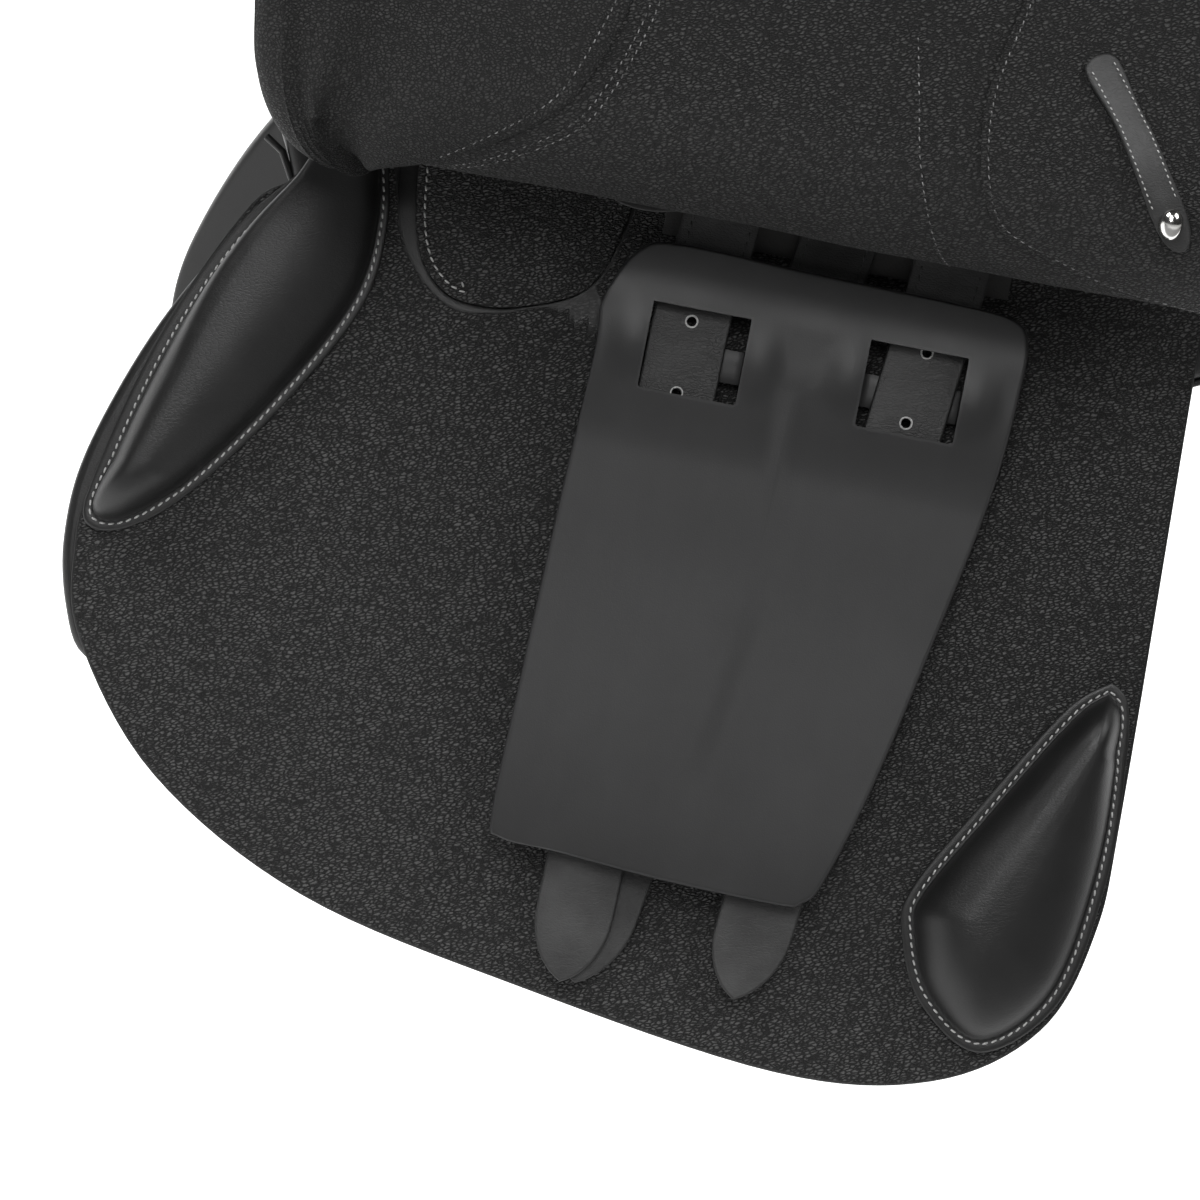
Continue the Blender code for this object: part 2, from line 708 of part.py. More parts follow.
def nearest_on(spine, point):
    """Nearest point of a broken line."""
    best = None
    for start, end in zip(spine, spine[1:]):
        run = (end[0] - start[0], end[1] - start[1])
        reach = (point[0] - start[0]) * run[0] + (point[1] - start[1]) * run[1]
        share = reach / (run[0]**2 + run[1]**2)
        foot = mix(start, end, min(max(share, 0.0), 1.0))
        distance = math.dist(foot, point)
        if best is None or distance < best[0]:
            best = (distance, foot)
    return best[1]


def make_block(side, name, outline, spine, n, height):
    """Padded block: a flat stitched border that swells into a rounded crest along its spine."""
    edge = curve_through(list(outline), 2, closed=True)
    border = 1.6 * MM
    rings = [[(x, s, n) for x, s in edge], [(x, s, n + border) for x, s in edge]]
    for inward, rise in ((0.10, 0.10), (0.24, 0.52), (0.44, 0.82), (0.68, 0.96), (0.90, 1.0)):
        ring = []
        for point in edge:
            x, s = mix(point, nearest_on(spine, point), inward)
            ring.append((x, s, n + border + (height - border) * rise))
        rings.append(ring)
    middle = spine[1]
    strip(side, name, rings, CALF, (*middle, n))


def make_pocket(side):
    """Stitched pocket that takes the point of the tree, in the cut-out of the sweat flap."""
    plate(side, "point_pocket", [pocket_outline()], 0.0, POCKET_THICKNESS, CALF)


# Girth straps and the guard threaded on them

BILLET_LINES = {
    "billet_front": (0.0295, 0.0241, BILLET_TOP, 0.2946),
    "billet_middle": (0.0730, 0.0342, BILLET_TOP, 0.2943),
    "billet_rear": (0.1100, 0.0818, BILLET_TOP, 0.2895),
}


def billet_centre(name, s):
    """x of a billet's centre line."""
    top_x, tip_x, top_s, tip_s = BILLET_LINES[name]
    return mix(top_x, tip_x, (s - top_s) / (tip_s - top_s))


def make_webbing(side):
    """Girth webbing that the billets are sewn to, doubled under the front and rear ones."""
    top, foot, fold_foot = GAP, 0.034, 0.030
    base = [(0.010, top, True), (0.128, top, True), (0.126, foot, True), (0.012, foot, True)]
    drawn = [(hand(side) * x, -s, corner) for x, s, corner in base]
    mesh = outline_mesh("billet_webbing_" + side, [drawn], WEBBING_THICKNESS)
    webbing = side_object(side, "billet_webbing", mesh, WEBBING, 0, 0, ON_SWEAT + WEBBING_THICKNESS / 2)
    low = ON_SWEAT + WEBBING_THICKNESS / 2
    high = BILLET_N - GAP
    for name in ("billet_front", "billet_rear"):
        centre = billet_centre(name, 0.015)
        half = BILLET_WIDTH / 2
        fold = [(centre - half, top, True), (centre + half, top, True),
                (centre + half, fold_foot, True), (centre - half, fold_foot, True)]
        drawn = [(hand(side) * x, -s, corner) for x, s, corner in fold]
        cutter = add_object("fold_" + name + "_" + side, outline_mesh("fold", [drawn], high - low),
                            None, cutters)
        cutter.parent = side_frames[side]
        cutter.location = in_plane(side, 0, 0, (low + high) / 2)
        cut(webbing, cutter, "UNION")


def make_billets(side):
    """Three leather girth straps; the middle one runs behind the other two."""
    pivot = (BILLET_SWING_X, BILLET_SWING_S)
    for name, line in BILLET_LINES.items():
        middle = name == "billet_middle"
        plate(side, name, [billet_outline(*line)], ON_WEBBING if middle else BILLET_N,
              MIDDLE_BILLET_THICKNESS if middle else BILLET_THICKNESS, STRAP, pivot)


def make_guard(side):
    """Girth guard with two windows; the bridge of each passes behind its billet."""
    pivot = (BILLET_SWING_X, BILLET_SWING_S)
    windows = [(name, billet_centre(name, top + GUARD_WINDOW_HEIGHT / 2), top)
               for name, top in (("billet_front", GUARD_WINDOW_S),
                                 ("billet_rear", GUARD_WINDOW_S - GUARD_REAR_RISE))]
    guard = plate(side, "girth_guard", [GUARD_OUTLINE], GUARD_N, GUARD_THICKNESS, GUARD_LEATHER, pivot)
    outer = GUARD_WINDOW_WIDTH / 2 + BRIDGE_LAP
    inner = GUARD_WINDOW_WIDTH / 2 - BRIDGE_INSET
    floor, top = BRIDGE_N, GUARD_N + GUARD_THICKNESS - 0.4 * MM
    profile = [(-outer, top), (-outer, floor), (outer, floor), (outer, top), (inner, top),
               (inner, floor + GUARD_THICKNESS), (-inner, floor + GUARD_THICKNESS), (-inner, top)]
    for name, centre, top_edge in windows:
        half = GUARD_WINDOW_WIDTH / 2
        window = box(side, "window_" + name, centre - half, centre + half, top_edge,
                     top_edge + GUARD_WINDOW_HEIGHT, GUARD_N - MM, GUARD_N + GUARD_THICKNESS + MM,
                     None, cutters)
        cut(guard, window)
        s0 = top_edge + GUARD_UPPER_SLIT
        rings = [[in_plane(side, centre + x, s, n) for x, n in profile]
                 for s in (s0, s0 + GUARD_BRIDGE_HEIGHT)]
        bridge = loft("bridge_" + name + "_" + side, rings, None, cutters)
        bridge.parent = side_frames[side]
        cut(guard, bridge, "UNION")


# Outer flap, from its fixing on the tree's flank to its free edge

# Front and rear edge of the flap, as x at a length down the leather
FLAP_FRONT_LINE = (
    (-FLAP_TOP, -0.098), (0.0, -0.099), (0.040, -0.102), (0.058, -0.110), (0.079, -0.1205),
    (0.099, -0.128), (0.126, -0.1335), (0.150, -0.145), (0.175, -0.158), (0.200, -0.167),
    (0.220, -0.166), (0.240, -0.155), (0.265, -0.127), (0.285, -0.089), (0.300, -0.045),
    (0.311, 0.010), (FLAP_LENGTH, 0.070))
FLAP_REAR_LINE = (
    (-FLAP_TOP, 0.196), (0.0, 0.197), (0.100, 0.200), (0.200, 0.206), (0.250, 0.203), (0.275, 0.192),
    (0.295, 0.170), (0.311, 0.135), (FLAP_LENGTH, 0.100))


def hinge_height():
    """Height of a bend hinge over the flat leather, at which its length is the same both ways."""
    turn = BEND_STEP
    return BEND_RADIUS / 2 * ((1 - math.cos(turn))**2 - math.sin(turn) * (turn - math.sin(turn))) / (
        1 - math.cos(turn))


def turned(index, along, up):
    """(s, n) in the lifted flap of a point given along the leather from the start of a bend step."""
    turn = index * BEND_STEP
    s = BEND_RADIUS * math.sin(turn) + along * math.cos(turn) - up * math.sin(turn)
    n = FLAP_N + BEND_RADIUS * (1 - math.cos(turn)) + along * math.sin(turn) + up * math.cos(turn)
    return s, n


def hinge_place(side, index):
    """(s, n) of one of the hinges that the flap bends at."""
    along, up = BEND_STEP_LENGTH / 2, hinge_height()
    if side == "left":
        return turned(index, along, up)
    return index * BEND_STEP_LENGTH + along, FLAP_N + up


def leather(side, x, length, offset):
    """Place of a point of the flap: length is measured down the leather, offset to its outer side."""
    if side == "right" or length <= 0:
        return (x, length, FLAP_N + offset)
    turn = min(length / BEND_RADIUS, FLAP_TURN)
    straight = max(length - BEND_LENGTH, 0.0)
    radius = BEND_RADIUS - offset
    s = radius * math.sin(turn) + straight * math.cos(turn)
    n = FLAP_N + BEND_RADIUS - radius * math.cos(turn) + straight * math.sin(turn)
    return (x, s, n)


def leather_ring(side, xs, length, low, high):
    """Closed ring around the leather at one length, between two offsets."""
    return [leather(side, x, length, high) for x in xs] + [
        leather(side, x, length, low) for x in reversed(xs)]


def spread(start, end, count):
    """Evenly spaced values from start to end."""
    return [mix(start, end, i / count) for i in range(count + 1)]


def flap_rings(side, lengths):
    """Rings of the flap's own leather."""
    rings = []
    for length in lengths:
        xs = spread(through(FLAP_FRONT_LINE, length), through(FLAP_REAR_LINE, length), 6)
        rings.append(leather_ring(side, xs, length, -FLAP_THICKNESS / 2, FLAP_THICKNESS / 2))
    return rings


def make_outer_flap(side):
    """Outer flap in four lengths that turn on each other, because its leather rolls when lifted."""
    hinges = [(index + 0.5) * BEND_STEP_LENGTH for index in range(BEND_HINGES)]
    bounds = [-FLAP_TOP, *hinges, FLAP_LENGTH]
    bends = ["flap_bend_%d" % (i + 1) for i in range(BEND_HINGES - 1)]
    names = ["flap_fixing", *bends, "outer_flap"]
    for index, name in enumerate(names):
        start = bounds[index] + (GAP if index else 0)
        end = bounds[index + 1] - (GAP if index < BEND_HINGES else 0)
        lengths = spread(start, end, 6)
        if index == BEND_HINGES:
            lengths = spread(start, BEND_LENGTH, 3) + spread(0.150, 0.270, 6)
            lengths += [FLAP_LENGTH - rest for rest in (0.038, 0.028, 0.020, 0.013, 0.007, 0.003, 0.0)]
        pivot = hinge_place(side, max(index - 1, 0))
        strip(side, name, flap_rings(side, lengths), GRAINED, (0, *pivot))


def flap_piece(side, name, rings, material):
    """Piece fastened to the free length of the outer flap."""
    strip(side, name, rings, material, (0, *hinge_place(side, BEND_HINGES - 1)))


LINING_START = BEND_STEP_LENGTH * (BEND_HINGES - 0.5) + 2 * MM  # clear of the last bend
# Front and rear edge of each lining, at a length down the leather
LINING_EDGES = {
    "lining_front": ((LINING_START, -0.090, -0.027), (0.125, -0.094, -0.016), (0.150, -0.100, -0.012),
                     (0.190, -0.112, -0.016), (0.220, -0.112, -0.034), (0.236, -0.100, -0.060)),
    "lining_rear": ((LINING_START, 0.104, 0.194), (0.125, 0.105, 0.196), (0.150, 0.110, 0.198),
                    (0.190, 0.116, 0.200), (0.220, 0.124, 0.198), (0.236, 0.140, 0.186)),
}


def make_linings(side):
    """Two stitched patches on the underside of the outer flap."""
    high = -FLAP_THICKNESS / 2 - GAP
    low = high - LINING_THICKNESS
    for name, edges in LINING_EDGES.items():
        fronts = [(length, front) for length, front, rear in edges]
        rears = [(length, rear) for length, front, rear in edges]
        lengths = spread(edges[0][0], BEND_LENGTH, 3) + spread(0.135, edges[-1][0], 5)
        rings = []
        for length in lengths:
            xs = spread(through(fronts, length), through(rears, length), 4)
            rings.append(leather_ring(side, xs, length, low, high))
        flap_piece(side, name, rings, LINING)


def make_flap_pad(side):
    """Padded roll on the outer side of the flap, behind its front edge."""
    base = FLAP_THICKNESS / 2 + GAP
    start, end = 0.128, 0.236
    width = 0.046
    rings = []
    for length in spread(start, end, 10):
        along = (length - start) / (end - start)
        fade = max(math.sin(math.pi * along), 0.0)**0.5
        front = through(FLAP_FRONT_LINE, length) + 0.007
        reach = width * (0.45 + 0.55 * fade)
        ring = []
        for across in spread(0.0, 1.0, 8):
            rise = 1.2 * MM + FLAP_PAD_HEIGHT * fade * math.sin(math.pi * across)
            ring.append(leather(side, front + reach * across, length, base + rise))
        ring += [leather(side, front + reach * across, length, base) for across in spread(1.0, 0.0, 8)]
        rings.append(ring)
    flap_piece(side, "flap_pad", rings, CALF)


# Ends of the keeper strap, as (x, length down the leather)
KEEPER_TOP = (0.1367, 0.150)
KEEPER_TIP = (0.1715, 0.1105)


def make_keeper(side):
    """Keeper strap on the rear lining, with its rounded end buttoned on a ball stud."""
    high = -FLAP_THICKNESS / 2 - GAP - LINING_THICKNESS - GAP
    low = high - KEEPER_THICKNESS
    run = (KEEPER_TIP[0] - KEEPER_TOP[0], KEEPER_TIP[1] - KEEPER_TOP[1])
    size = math.hypot(*run)
    along = (run[0] / size, run[1] / size)
    side_way = (along[1], -along[0])
    half = KEEPER_WIDTH / 2
    rings = []
    for share, wide in ((0.0, 1.0), (0.2, 1.0), (0.4, 1.0), (0.6, 1.0), (0.8, 1.0), (0.92, 1.0),
                        (0.96, 0.87), (0.985, 0.6), (1.0, 0.25)):
        centre = mix(KEEPER_TOP, KEEPER_TIP, share)
        reach = half * wide
        corners = [(centre[0] + side_way[0] * reach * sign, centre[1] + side_way[1] * reach * sign)
                   for sign in (-1, 1)]
        rings.append([leather(side, *corners[0], high), leather(side, *corners[1], high),
                      leather(side, *corners[1], low), leather(side, *corners[0], low)])
    flap_piece(side, "keeper_strap", rings, STRAP)
    x, length = mix(KEEPER_TOP, KEEPER_TIP, 0.90)
    neck, collar = 0.475 * STUD_RADIUS, 0.65 * STUD_RADIUS
    profile = [(collar, 0.0), (neck, 0.175 * STUD_RADIUS), (neck, 0.35 * STUD_RADIUS)]
    profile += [(STUD_RADIUS * math.sin(turn), STUD_RADIUS * (1.3 - math.cos(turn)))
                for turn in spread(math.radians(32), math.radians(176), 7)]
    rings = []
    for radius, rise in profile:
        ring = []
        for turn in spread(0, 2 * math.pi, 14)[:-1]:
            ring.append(leather(side, x + radius * math.cos(turn), length + radius * math.sin(turn),
                                low - GAP - rise))
        rings.append(ring)
    flap_piece(side, "keeper_stud", rings, NICKEL)


# Skirt

def skirt_section(x):
    """Half-section of the skirt, from the seat's edge to its lower edge."""
    width = through(WIDTH_LINE, x)
    edge = welt_height(x) - SEAT_SIDE_HEIGHT
    front_end = (SKIRT_FRONT_X + 0.030 - x) / 0.030
    rear_end = (x - SKIRT_REAR_X + 0.060) / 0.060
    end = smoothstep(0, 1, max(front_end, rear_end))
    crest = section(-0.064, 0.0375)
    top_height = edge + 0.003
    slope = math.atan2(top_height - crest[1], crest[0] - width)
    top = (width + GAP + SKIRT_THICKNESS / 2 * math.sin(slope), top_height)
    brow = section(-0.033, 0.0525)
    foot = section(SKIRT_DROP - 0.020 * end, SKIRT_N + 0.008 * end)
    rise = (mix(top[0], crest[0], 0.5), mix(top[1], crest[1], 0.5) + 0.003)
    return curve_through([top, rise, crest, brow, mix(brow, foot, 0.55), foot], 2)


def make_skirt(side):
    """Skirt over the stirrup bar, from the seat's edge down to the top of the outer flap."""
    sign = -1 if side == "left" else 1
    axis = skirt_axis(side)
    rings = []
    for x in stations(SKIRT_FRONT_X, SKIRT_REAR_X):
        middle = skirt_section(x)
        faces = ([], [])
        for i, (y, z) in enumerate(middle):
            before, after = middle[max(i - 1, 0)], middle[min(i + 1, len(middle) - 1)]
            run = (after[0] - before[0], after[1] - before[1])
            size = math.hypot(*run)
            normal = (-run[1] / size * SKIRT_THICKNESS / 2, run[0] / size * SKIRT_THICKNESS / 2)
            faces[0].append((x, sign * (y + normal[0]), z + normal[1]))
            faces[1].append((x, sign * (y - normal[0]), z - normal[1]))
        rings.append(faces[0] + list(reversed(faces[1])))
    loft("skirt_" + side, rings, CALF, origin=axis[0])


def skirt_axis(side):
    """Two points of the line that the skirt turns on, along the seat's edge."""
    sign = -1 if side == "left" else 1
    ends = []
    for x in (SKIRT_FRONT_X, SKIRT_REAR_X):
        edge = welt_height(x) - SEAT_SIDE_HEIGHT
        ends.append((x, sign * through(WIDTH_LINE, x), edge + 0.003))
    return ends


# Stirrup bar, its catch, and the front dee ring with its chape

def bar_x(x):
    """x in the side plane of a saddle X."""
    return x - PLANE_X


def make_stirrup_bar(side):
    """Forged bar that stands off its back plate and is open to the rear."""
    plate_n = FLANK_OUTER_N + GAP
    bar = box(side, "stirrup_bar", bar_x(BAR_FRONT_X) - 0.006, bar_x(BAR_REAR_X) + 0.004,
              BAR_S - BAR_PLATE_HEIGHT / 2, BAR_S + BAR_PLATE_HEIGHT / 2, plate_n,
              plate_n + BAR_PLATE_THICKNESS, STEEL)
    front = bar_x(BAR_FRONT_X)
    path = [(front, BAR_S, plate_n + BAR_PLATE_THICKNESS / 2), (front, BAR_S, mix(plate_n, BAR_N, 0.62)),
            (front + 0.001, BAR_S, BAR_N - 0.002), (front + 0.004, BAR_S, BAR_N),
            (bar_x(BAR_REAR_X), BAR_S, BAR_N)]
    points = [in_plane(side, *point) for point in path]
    mesh = wire_mesh("bar_rod_" + side, points, BAR_RADIUS, resolution=2)
    rod = add_object("bar_rod_" + side, mesh, None, cutters)
    rod.parent = side_frames[side]
    cut(bar, rod, "UNION")


def catch_pivot():
    """(x, s, n) of the pivot that the catch turns on."""
    return bar_x(BAR_REAR_X) + 2 * GAP + CATCH_KNUCKLE, BAR_S, BAR_N


def make_catch(side):
    """Safety catch that turns at the open end of the stirrup bar."""
    x, s, n = catch_pivot()
    half, knuckle = CATCH_WIDTH / 2, CATCH_KNUCKLE
    outline = [(x + CATCH_LENGTH * 0.5, s - half), (x + CATCH_LENGTH - knuckle, s),
               (x + CATCH_LENGTH * 0.5, s + half), (x, s + knuckle), (x - knuckle, s), (x, s - knuckle)]
    plate(side, "stirrup_catch", [outline], n - CATCH_THICKNESS / 2, CATCH_THICKNESS, STEEL, (x, s), 2)


def dee_centre():
    """(x, s, n) of the middle of the dee ring's straight bar."""
    return bar_x(DEE_X), DEE_S, FLANK_OUTER_N + GAP + CHAPE_THICKNESS + DEE_WIRE_RADIUS + 0.4 * MM


def make_dee(side):
    """Dee ring that hangs by its straight bar."""
    x, s, n = dee_centre()
    half = DEE_WIDTH / 2
    bow = [(x + half * math.cos(turn), s + 0.004 + half * math.sin(turn), n)
           for turn in spread(0, math.pi, 8)]
    path = [(x + half, s, n)] + bow + [(x - half, s, n)]
    path.insert(0, (x, s, n))
    origin = in_plane(side, x, s, n)
    mesh = wire_mesh("front_dee_" + side, [in_plane(side, *point) - origin for point in path],
                     DEE_WIRE_RADIUS, closed=True, resolution=1)
    side_object(side, "front_dee", mesh, NICKEL, x, s, n)


def make_chape(side):
    """Folded strap that holds the dee ring's bar against the tree."""
    x, s, n = dee_centre()
    hole = DEE_WIRE_RADIUS + 0.4 * MM
    outer = hole + CHAPE_THICKNESS
    back = n - outer
    tail = 0.010
    around = [(s + outer * math.sin(turn), n - outer * math.cos(turn))
              for turn in spread(0, math.pi, 8)]
    profile = [(s - tail, back), *around, (s - tail, n + outer - 1.2 * MM)]
    inside = [(s + hole * math.cos(turn), n + hole * math.sin(turn))
              for turn in spread(0, 2 * math.pi, 12)[:-1]]
    half = CHAPE_WIDTH / 2
    origin = in_plane(side, x, s, n)
    rings = [[in_plane(side, x + offset, *point) for point in profile] for offset in (-half, half)]
    chape = loft("dee_chape_" + side, rings, STRAP, origin=origin)
    chape.parent = side_frames[side]
    bore_rings = [[in_plane(side, x + offset, *point) for point in inside]
                  for offset in (-CHAPE_WIDTH, CHAPE_WIDTH)]
    bore = loft("chape_bore_" + side, bore_rings, None, cutters)
    bore.parent = side_frames[side]
    cut(chape, bore)


make_tree()
make_seat_web()
make_gullet_plate()
make_seat()
for side in SIDES:
    make_panel(side)
    make_sweat_flap(side)
    make_block(side, "knee_block", KNEE_OUTLINE, KNEE_SPINE, ON_SWEAT, KNEE_BLOCK_HEIGHT)
    make_block(side, "thigh_block", THIGH_OUTLINE, THIGH_SPINE, ON_SWEAT, THIGH_BLOCK_HEIGHT)
    make_pocket(side)
    make_webbing(side)
    make_billets(side)
    make_guard(side)
    make_outer_flap(side)
    make_linings(side)
    make_flap_pad(side)
    make_keeper(side)
    make_skirt(side)
    make_stirrup_bar(side)
    make_catch(side)
    make_dee(side)
    make_chape(side)
bpy.context.view_layer.update()
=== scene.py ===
"""Looks of a jumping saddle with double flaps, the left outer flap lifted and rolled over."""

import math
import random

import bpy
from mathutils import Matrix, Vector
from mathutils.kdtree import KDTree


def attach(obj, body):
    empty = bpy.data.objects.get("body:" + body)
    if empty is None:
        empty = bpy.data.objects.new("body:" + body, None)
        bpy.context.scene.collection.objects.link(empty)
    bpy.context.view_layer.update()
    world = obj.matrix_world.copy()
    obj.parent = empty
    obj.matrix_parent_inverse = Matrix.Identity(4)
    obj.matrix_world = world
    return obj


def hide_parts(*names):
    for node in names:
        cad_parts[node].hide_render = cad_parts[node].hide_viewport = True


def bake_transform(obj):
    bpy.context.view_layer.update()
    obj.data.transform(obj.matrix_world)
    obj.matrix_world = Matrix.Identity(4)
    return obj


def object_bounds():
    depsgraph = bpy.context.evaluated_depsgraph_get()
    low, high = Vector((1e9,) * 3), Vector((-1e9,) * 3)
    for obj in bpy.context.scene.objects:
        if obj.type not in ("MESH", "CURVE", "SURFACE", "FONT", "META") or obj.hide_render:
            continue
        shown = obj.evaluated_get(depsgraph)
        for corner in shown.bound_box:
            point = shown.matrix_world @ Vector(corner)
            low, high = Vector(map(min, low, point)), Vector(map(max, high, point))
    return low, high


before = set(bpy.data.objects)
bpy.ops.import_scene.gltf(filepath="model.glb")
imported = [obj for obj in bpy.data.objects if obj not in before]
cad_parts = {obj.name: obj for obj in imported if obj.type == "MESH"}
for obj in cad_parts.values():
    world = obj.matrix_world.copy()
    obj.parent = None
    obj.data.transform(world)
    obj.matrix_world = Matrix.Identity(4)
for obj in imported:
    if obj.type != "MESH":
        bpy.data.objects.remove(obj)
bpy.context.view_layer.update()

# Tree
# A moulded laminate with a steel arch under its head and a webbing strained across its opening.
# It is fixed inside the saddle and shows only in the channel and under the skirts.

MM = 0.001
GAP = 0.3 * MM
SIDES = ("left", "right")


class Wire:
    """One output in a material's node tree, on which sums can be written."""

    def __init__(self, tree, socket=None):
        self.tree = tree
        self.socket = socket

    def node(self, kind, settings=None, inputs=None, output=0):
        """Any shader node: its settings come first, then the values or wires of its sockets."""
        made = self.tree.nodes.new("ShaderNode" + kind)
        for name, value in (settings or {}).items():
            if name == "stops":
                ramp = made.color_ramp
                while len(ramp.elements) < len(value):
                    ramp.elements.new(0.5)
                for element, (position, colour) in zip(ramp.elements, value):
                    element.position = position
                    element.color = colour
            else:
                setattr(made, name, value)
        for name, value in (inputs or {}).items():
            if isinstance(value, Wire):
                self.tree.links.new(value.socket, made.inputs[name])
            else:
                made.inputs[name].default_value = value
        return Wire(self.tree, made.outputs[output])

    def maths(self, operation, *values):
        return self.node("Math", {"operation": operation}, dict(enumerate(values)))

    def __add__(self, other):
        return self.maths("ADD", self, other)

    def __radd__(self, other):
        return self.maths("ADD", other, self)

    def __sub__(self, other):
        return self.maths("SUBTRACT", self, other)

    def __rsub__(self, other):
        return self.maths("SUBTRACT", other, self)

    def __mul__(self, other):
        return self.maths("MULTIPLY", self, other)

    def __rmul__(self, other):
        return self.maths("MULTIPLY", other, self)

    def __truediv__(self, other):
        return self.maths("DIVIDE", self, other)

    def ramp(self, low, high):
        """0 where the wire is at low, 1 where it is at high."""
        return self.node("MapRange", {"interpolation_type": "SMOOTHSTEP"},
                         {"Value": self, "From Min": low, "From Max": high})

    def tint(self, dark, light):
        """Colour between two greys or colours."""
        return self.node("Mix", {"data_type": "RGBA"}, {0: self, 6: (*dark, 1), 7: (*light, 1)}, 2)


def new_material(name, roughness, metallic=0.0, colour=(0.02, 0.02, 0.02), **extra):
    """Principled material and a wire to build on. The constant sockets are set at once."""
    material = bpy.data.materials.new(name)
    material.use_nodes = True
    shader = material.node_tree.nodes["Principled BSDF"]
    shader.inputs["Base Color"].default_value = (*colour, 1)
    shader.inputs["Roughness"].default_value = roughness
    shader.inputs["Metallic"].default_value = metallic
    for name, value in extra.items():
        shader.inputs[name.replace("_", " ").title().replace("Ior", "IOR")].default_value = value
    return material, Wire(material.node_tree)


def feed(material, **wires):
    """Joins wires to the sockets of a material's shader."""
    shader = material.node_tree.nodes["Principled BSDF"]
    for name, wire in wires.items():
        socket = shader.inputs[name.replace("_", " ").title()]
        material.node_tree.links.new(wire.socket, socket)


def bump(wire, height, strength, distance):
    """Normal that follows a height given in parts of the distance in metres."""
    return wire.node("Bump", {}, {"Height": height, "Strength": strength, "Distance": distance})


def here(wire, scale=(1, 1, 1), turn=(0, 0, 0)):
    """Place on the object, stretched and turned."""
    coords = wire.node("TexCoord", output=3)
    return wire.node("Mapping", {}, {"Vector": coords, "Scale": scale, "Rotation": turn})


def noise(wire, at, scale, detail=3.0, roughness=0.55):
    """Soft noise whose scale counts its spots per metre."""
    return wire.node("TexNoise", {},
                     {"Vector": at, "Scale": scale, "Detail": detail, "Roughness": roughness})


def cells(wire, at, scale, feature="DISTANCE_TO_EDGE", randomness=1.0):
    """Cell pattern, read as the distance to the cells' edges."""
    return wire.node("TexVoronoi", {"feature": feature},
                     {"Vector": at, "Scale": scale, "Randomness": randomness})


def stirred(wire, at, scale, amount):
    """Place pushed about by noise, so that a pattern on it isn't regular."""
    push = wire.node("TexNoise", {}, {"Vector": at, "Scale": scale, "Detail": 2.0}, 1)
    centred = wire.node("VectorMath", {"operation": "SUBTRACT"}, {0: push, 1: (0.5, 0.5, 0.5)})
    pushed = wire.node("VectorMath", {"operation": "SCALE"}, {0: centred, "Scale": amount})
    return wire.node("VectorMath", {"operation": "ADD"}, {0: at, 1: pushed})


def along_x(wire):
    """Distance along the saddle, in metres."""
    coords = wire.node("TexCoord", output=3)
    return wire.node("SeparateXYZ", {}, {"Vector": coords}, 0)


wood, w = new_material("tree_laminate", 0.5, colour=(0.3, 0.18, 0.09))
layers = noise(w, here(w, (3, 3, 160)), 8.0, 4.0)
# cloth is glued over both ends
bare = along_x(w).ramp(-0.1795, -0.1785) * (1 - along_x(w).ramp(0.1585, 0.1595))
laminate = layers.ramp(0.35, 0.65).tint((0.010, 0.008, 0.006), (0.026, 0.021, 0.016))  # stained black
cloth = layers.tint((0.004, 0.004, 0.004), (0.012, 0.012, 0.012))
feed(wood, base_color=w.node("Mix", {"data_type": "RGBA"}, {0: bare, 6: cloth, 7: laminate}, 2),
     roughness=0.62 - 0.22 * bare * layers, normal=bump(w, layers, 0.3, 0.0004))

steel, w = new_material("tree_steel", 0.4, 1.0, (0.30, 0.30, 0.31))
brushed = noise(w, here(w, (1, 12, 12)), 220.0, 3.0)
feed(steel, base_color=brushed.tint((0.20, 0.20, 0.21), (0.36, 0.36, 0.37)),
     roughness=0.28 + 0.25 * brushed, normal=bump(w, brushed, 0.25, 0.0001))

webbing, w = new_material("woven_webbing", 0.8)
threads = w.node("Attribute", {"attribute_name": "weave"}, output=1)
along = w.node("SeparateXYZ", {}, {"Vector": threads}, 0)
across = w.node("SeparateXYZ", {}, {"Vector": threads}, 1)
PICK = math.pi / 0.00115  # one thread of the weave is this wide
ridge = (along * PICK).maths("SINE") * (across * PICK).maths("SINE")
crossing = ridge.maths("ABSOLUTE").maths("POWER", 0.6)
fluff = noise(w, here(w), 1500.0, 2.0)
feed(webbing,
     base_color=(crossing * 0.8 + fluff * 0.3).tint((0.006, 0.006, 0.006), (0.050, 0.049, 0.048)),
     normal=bump(w, crossing + 0.3 * fluff, 0.9, 0.0005))


def dress(node, material):
    """Gives a CAD node its finish."""
    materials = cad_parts[node].data.materials
    materials.clear()
    materials.append(material)


web_material, w = new_material("seat_web_linen", 0.85)
place_x = along_x(w)
place_y = w.node("SeparateXYZ", {}, {"Vector": w.node("TexCoord", output=3)}, 1)
weave = ((place_x * PICK).maths("SINE") * (place_y * PICK).maths("SINE")).maths("ABSOLUTE")
feed(web_material, base_color=weave.tint((0.05, 0.045, 0.04), (0.22, 0.20, 0.17)),
     normal=bump(w, weave, 0.8, 0.0004))

dress("tree", wood)
dress("gullet_plate", steel)
dress("seat_web", web_material)


# Form of the saddle
# The seat, tree and panels are read from lines along the saddle. Each flap lies in a side plane,
# where s runs down from the line on which the flap hinges and n points outward.

FLARE = math.radians(15)
HINGE_Y = 0.125
HINGE_Z = 0.025
PLANE_X = -0.100
POMMEL_X, CANTLE_X = -0.236, 0.262
TREE_FRONT, TREE_REAR = POMMEL_X + 0.006, CANTLE_X - 0.012
FLANK_HEIGHT = 0.038
FLANK_INNER, FLANK_OUTER = 3.8 * MM, 26.2 * MM
TUCK_START, TUCK_END = 0.104, 0.174

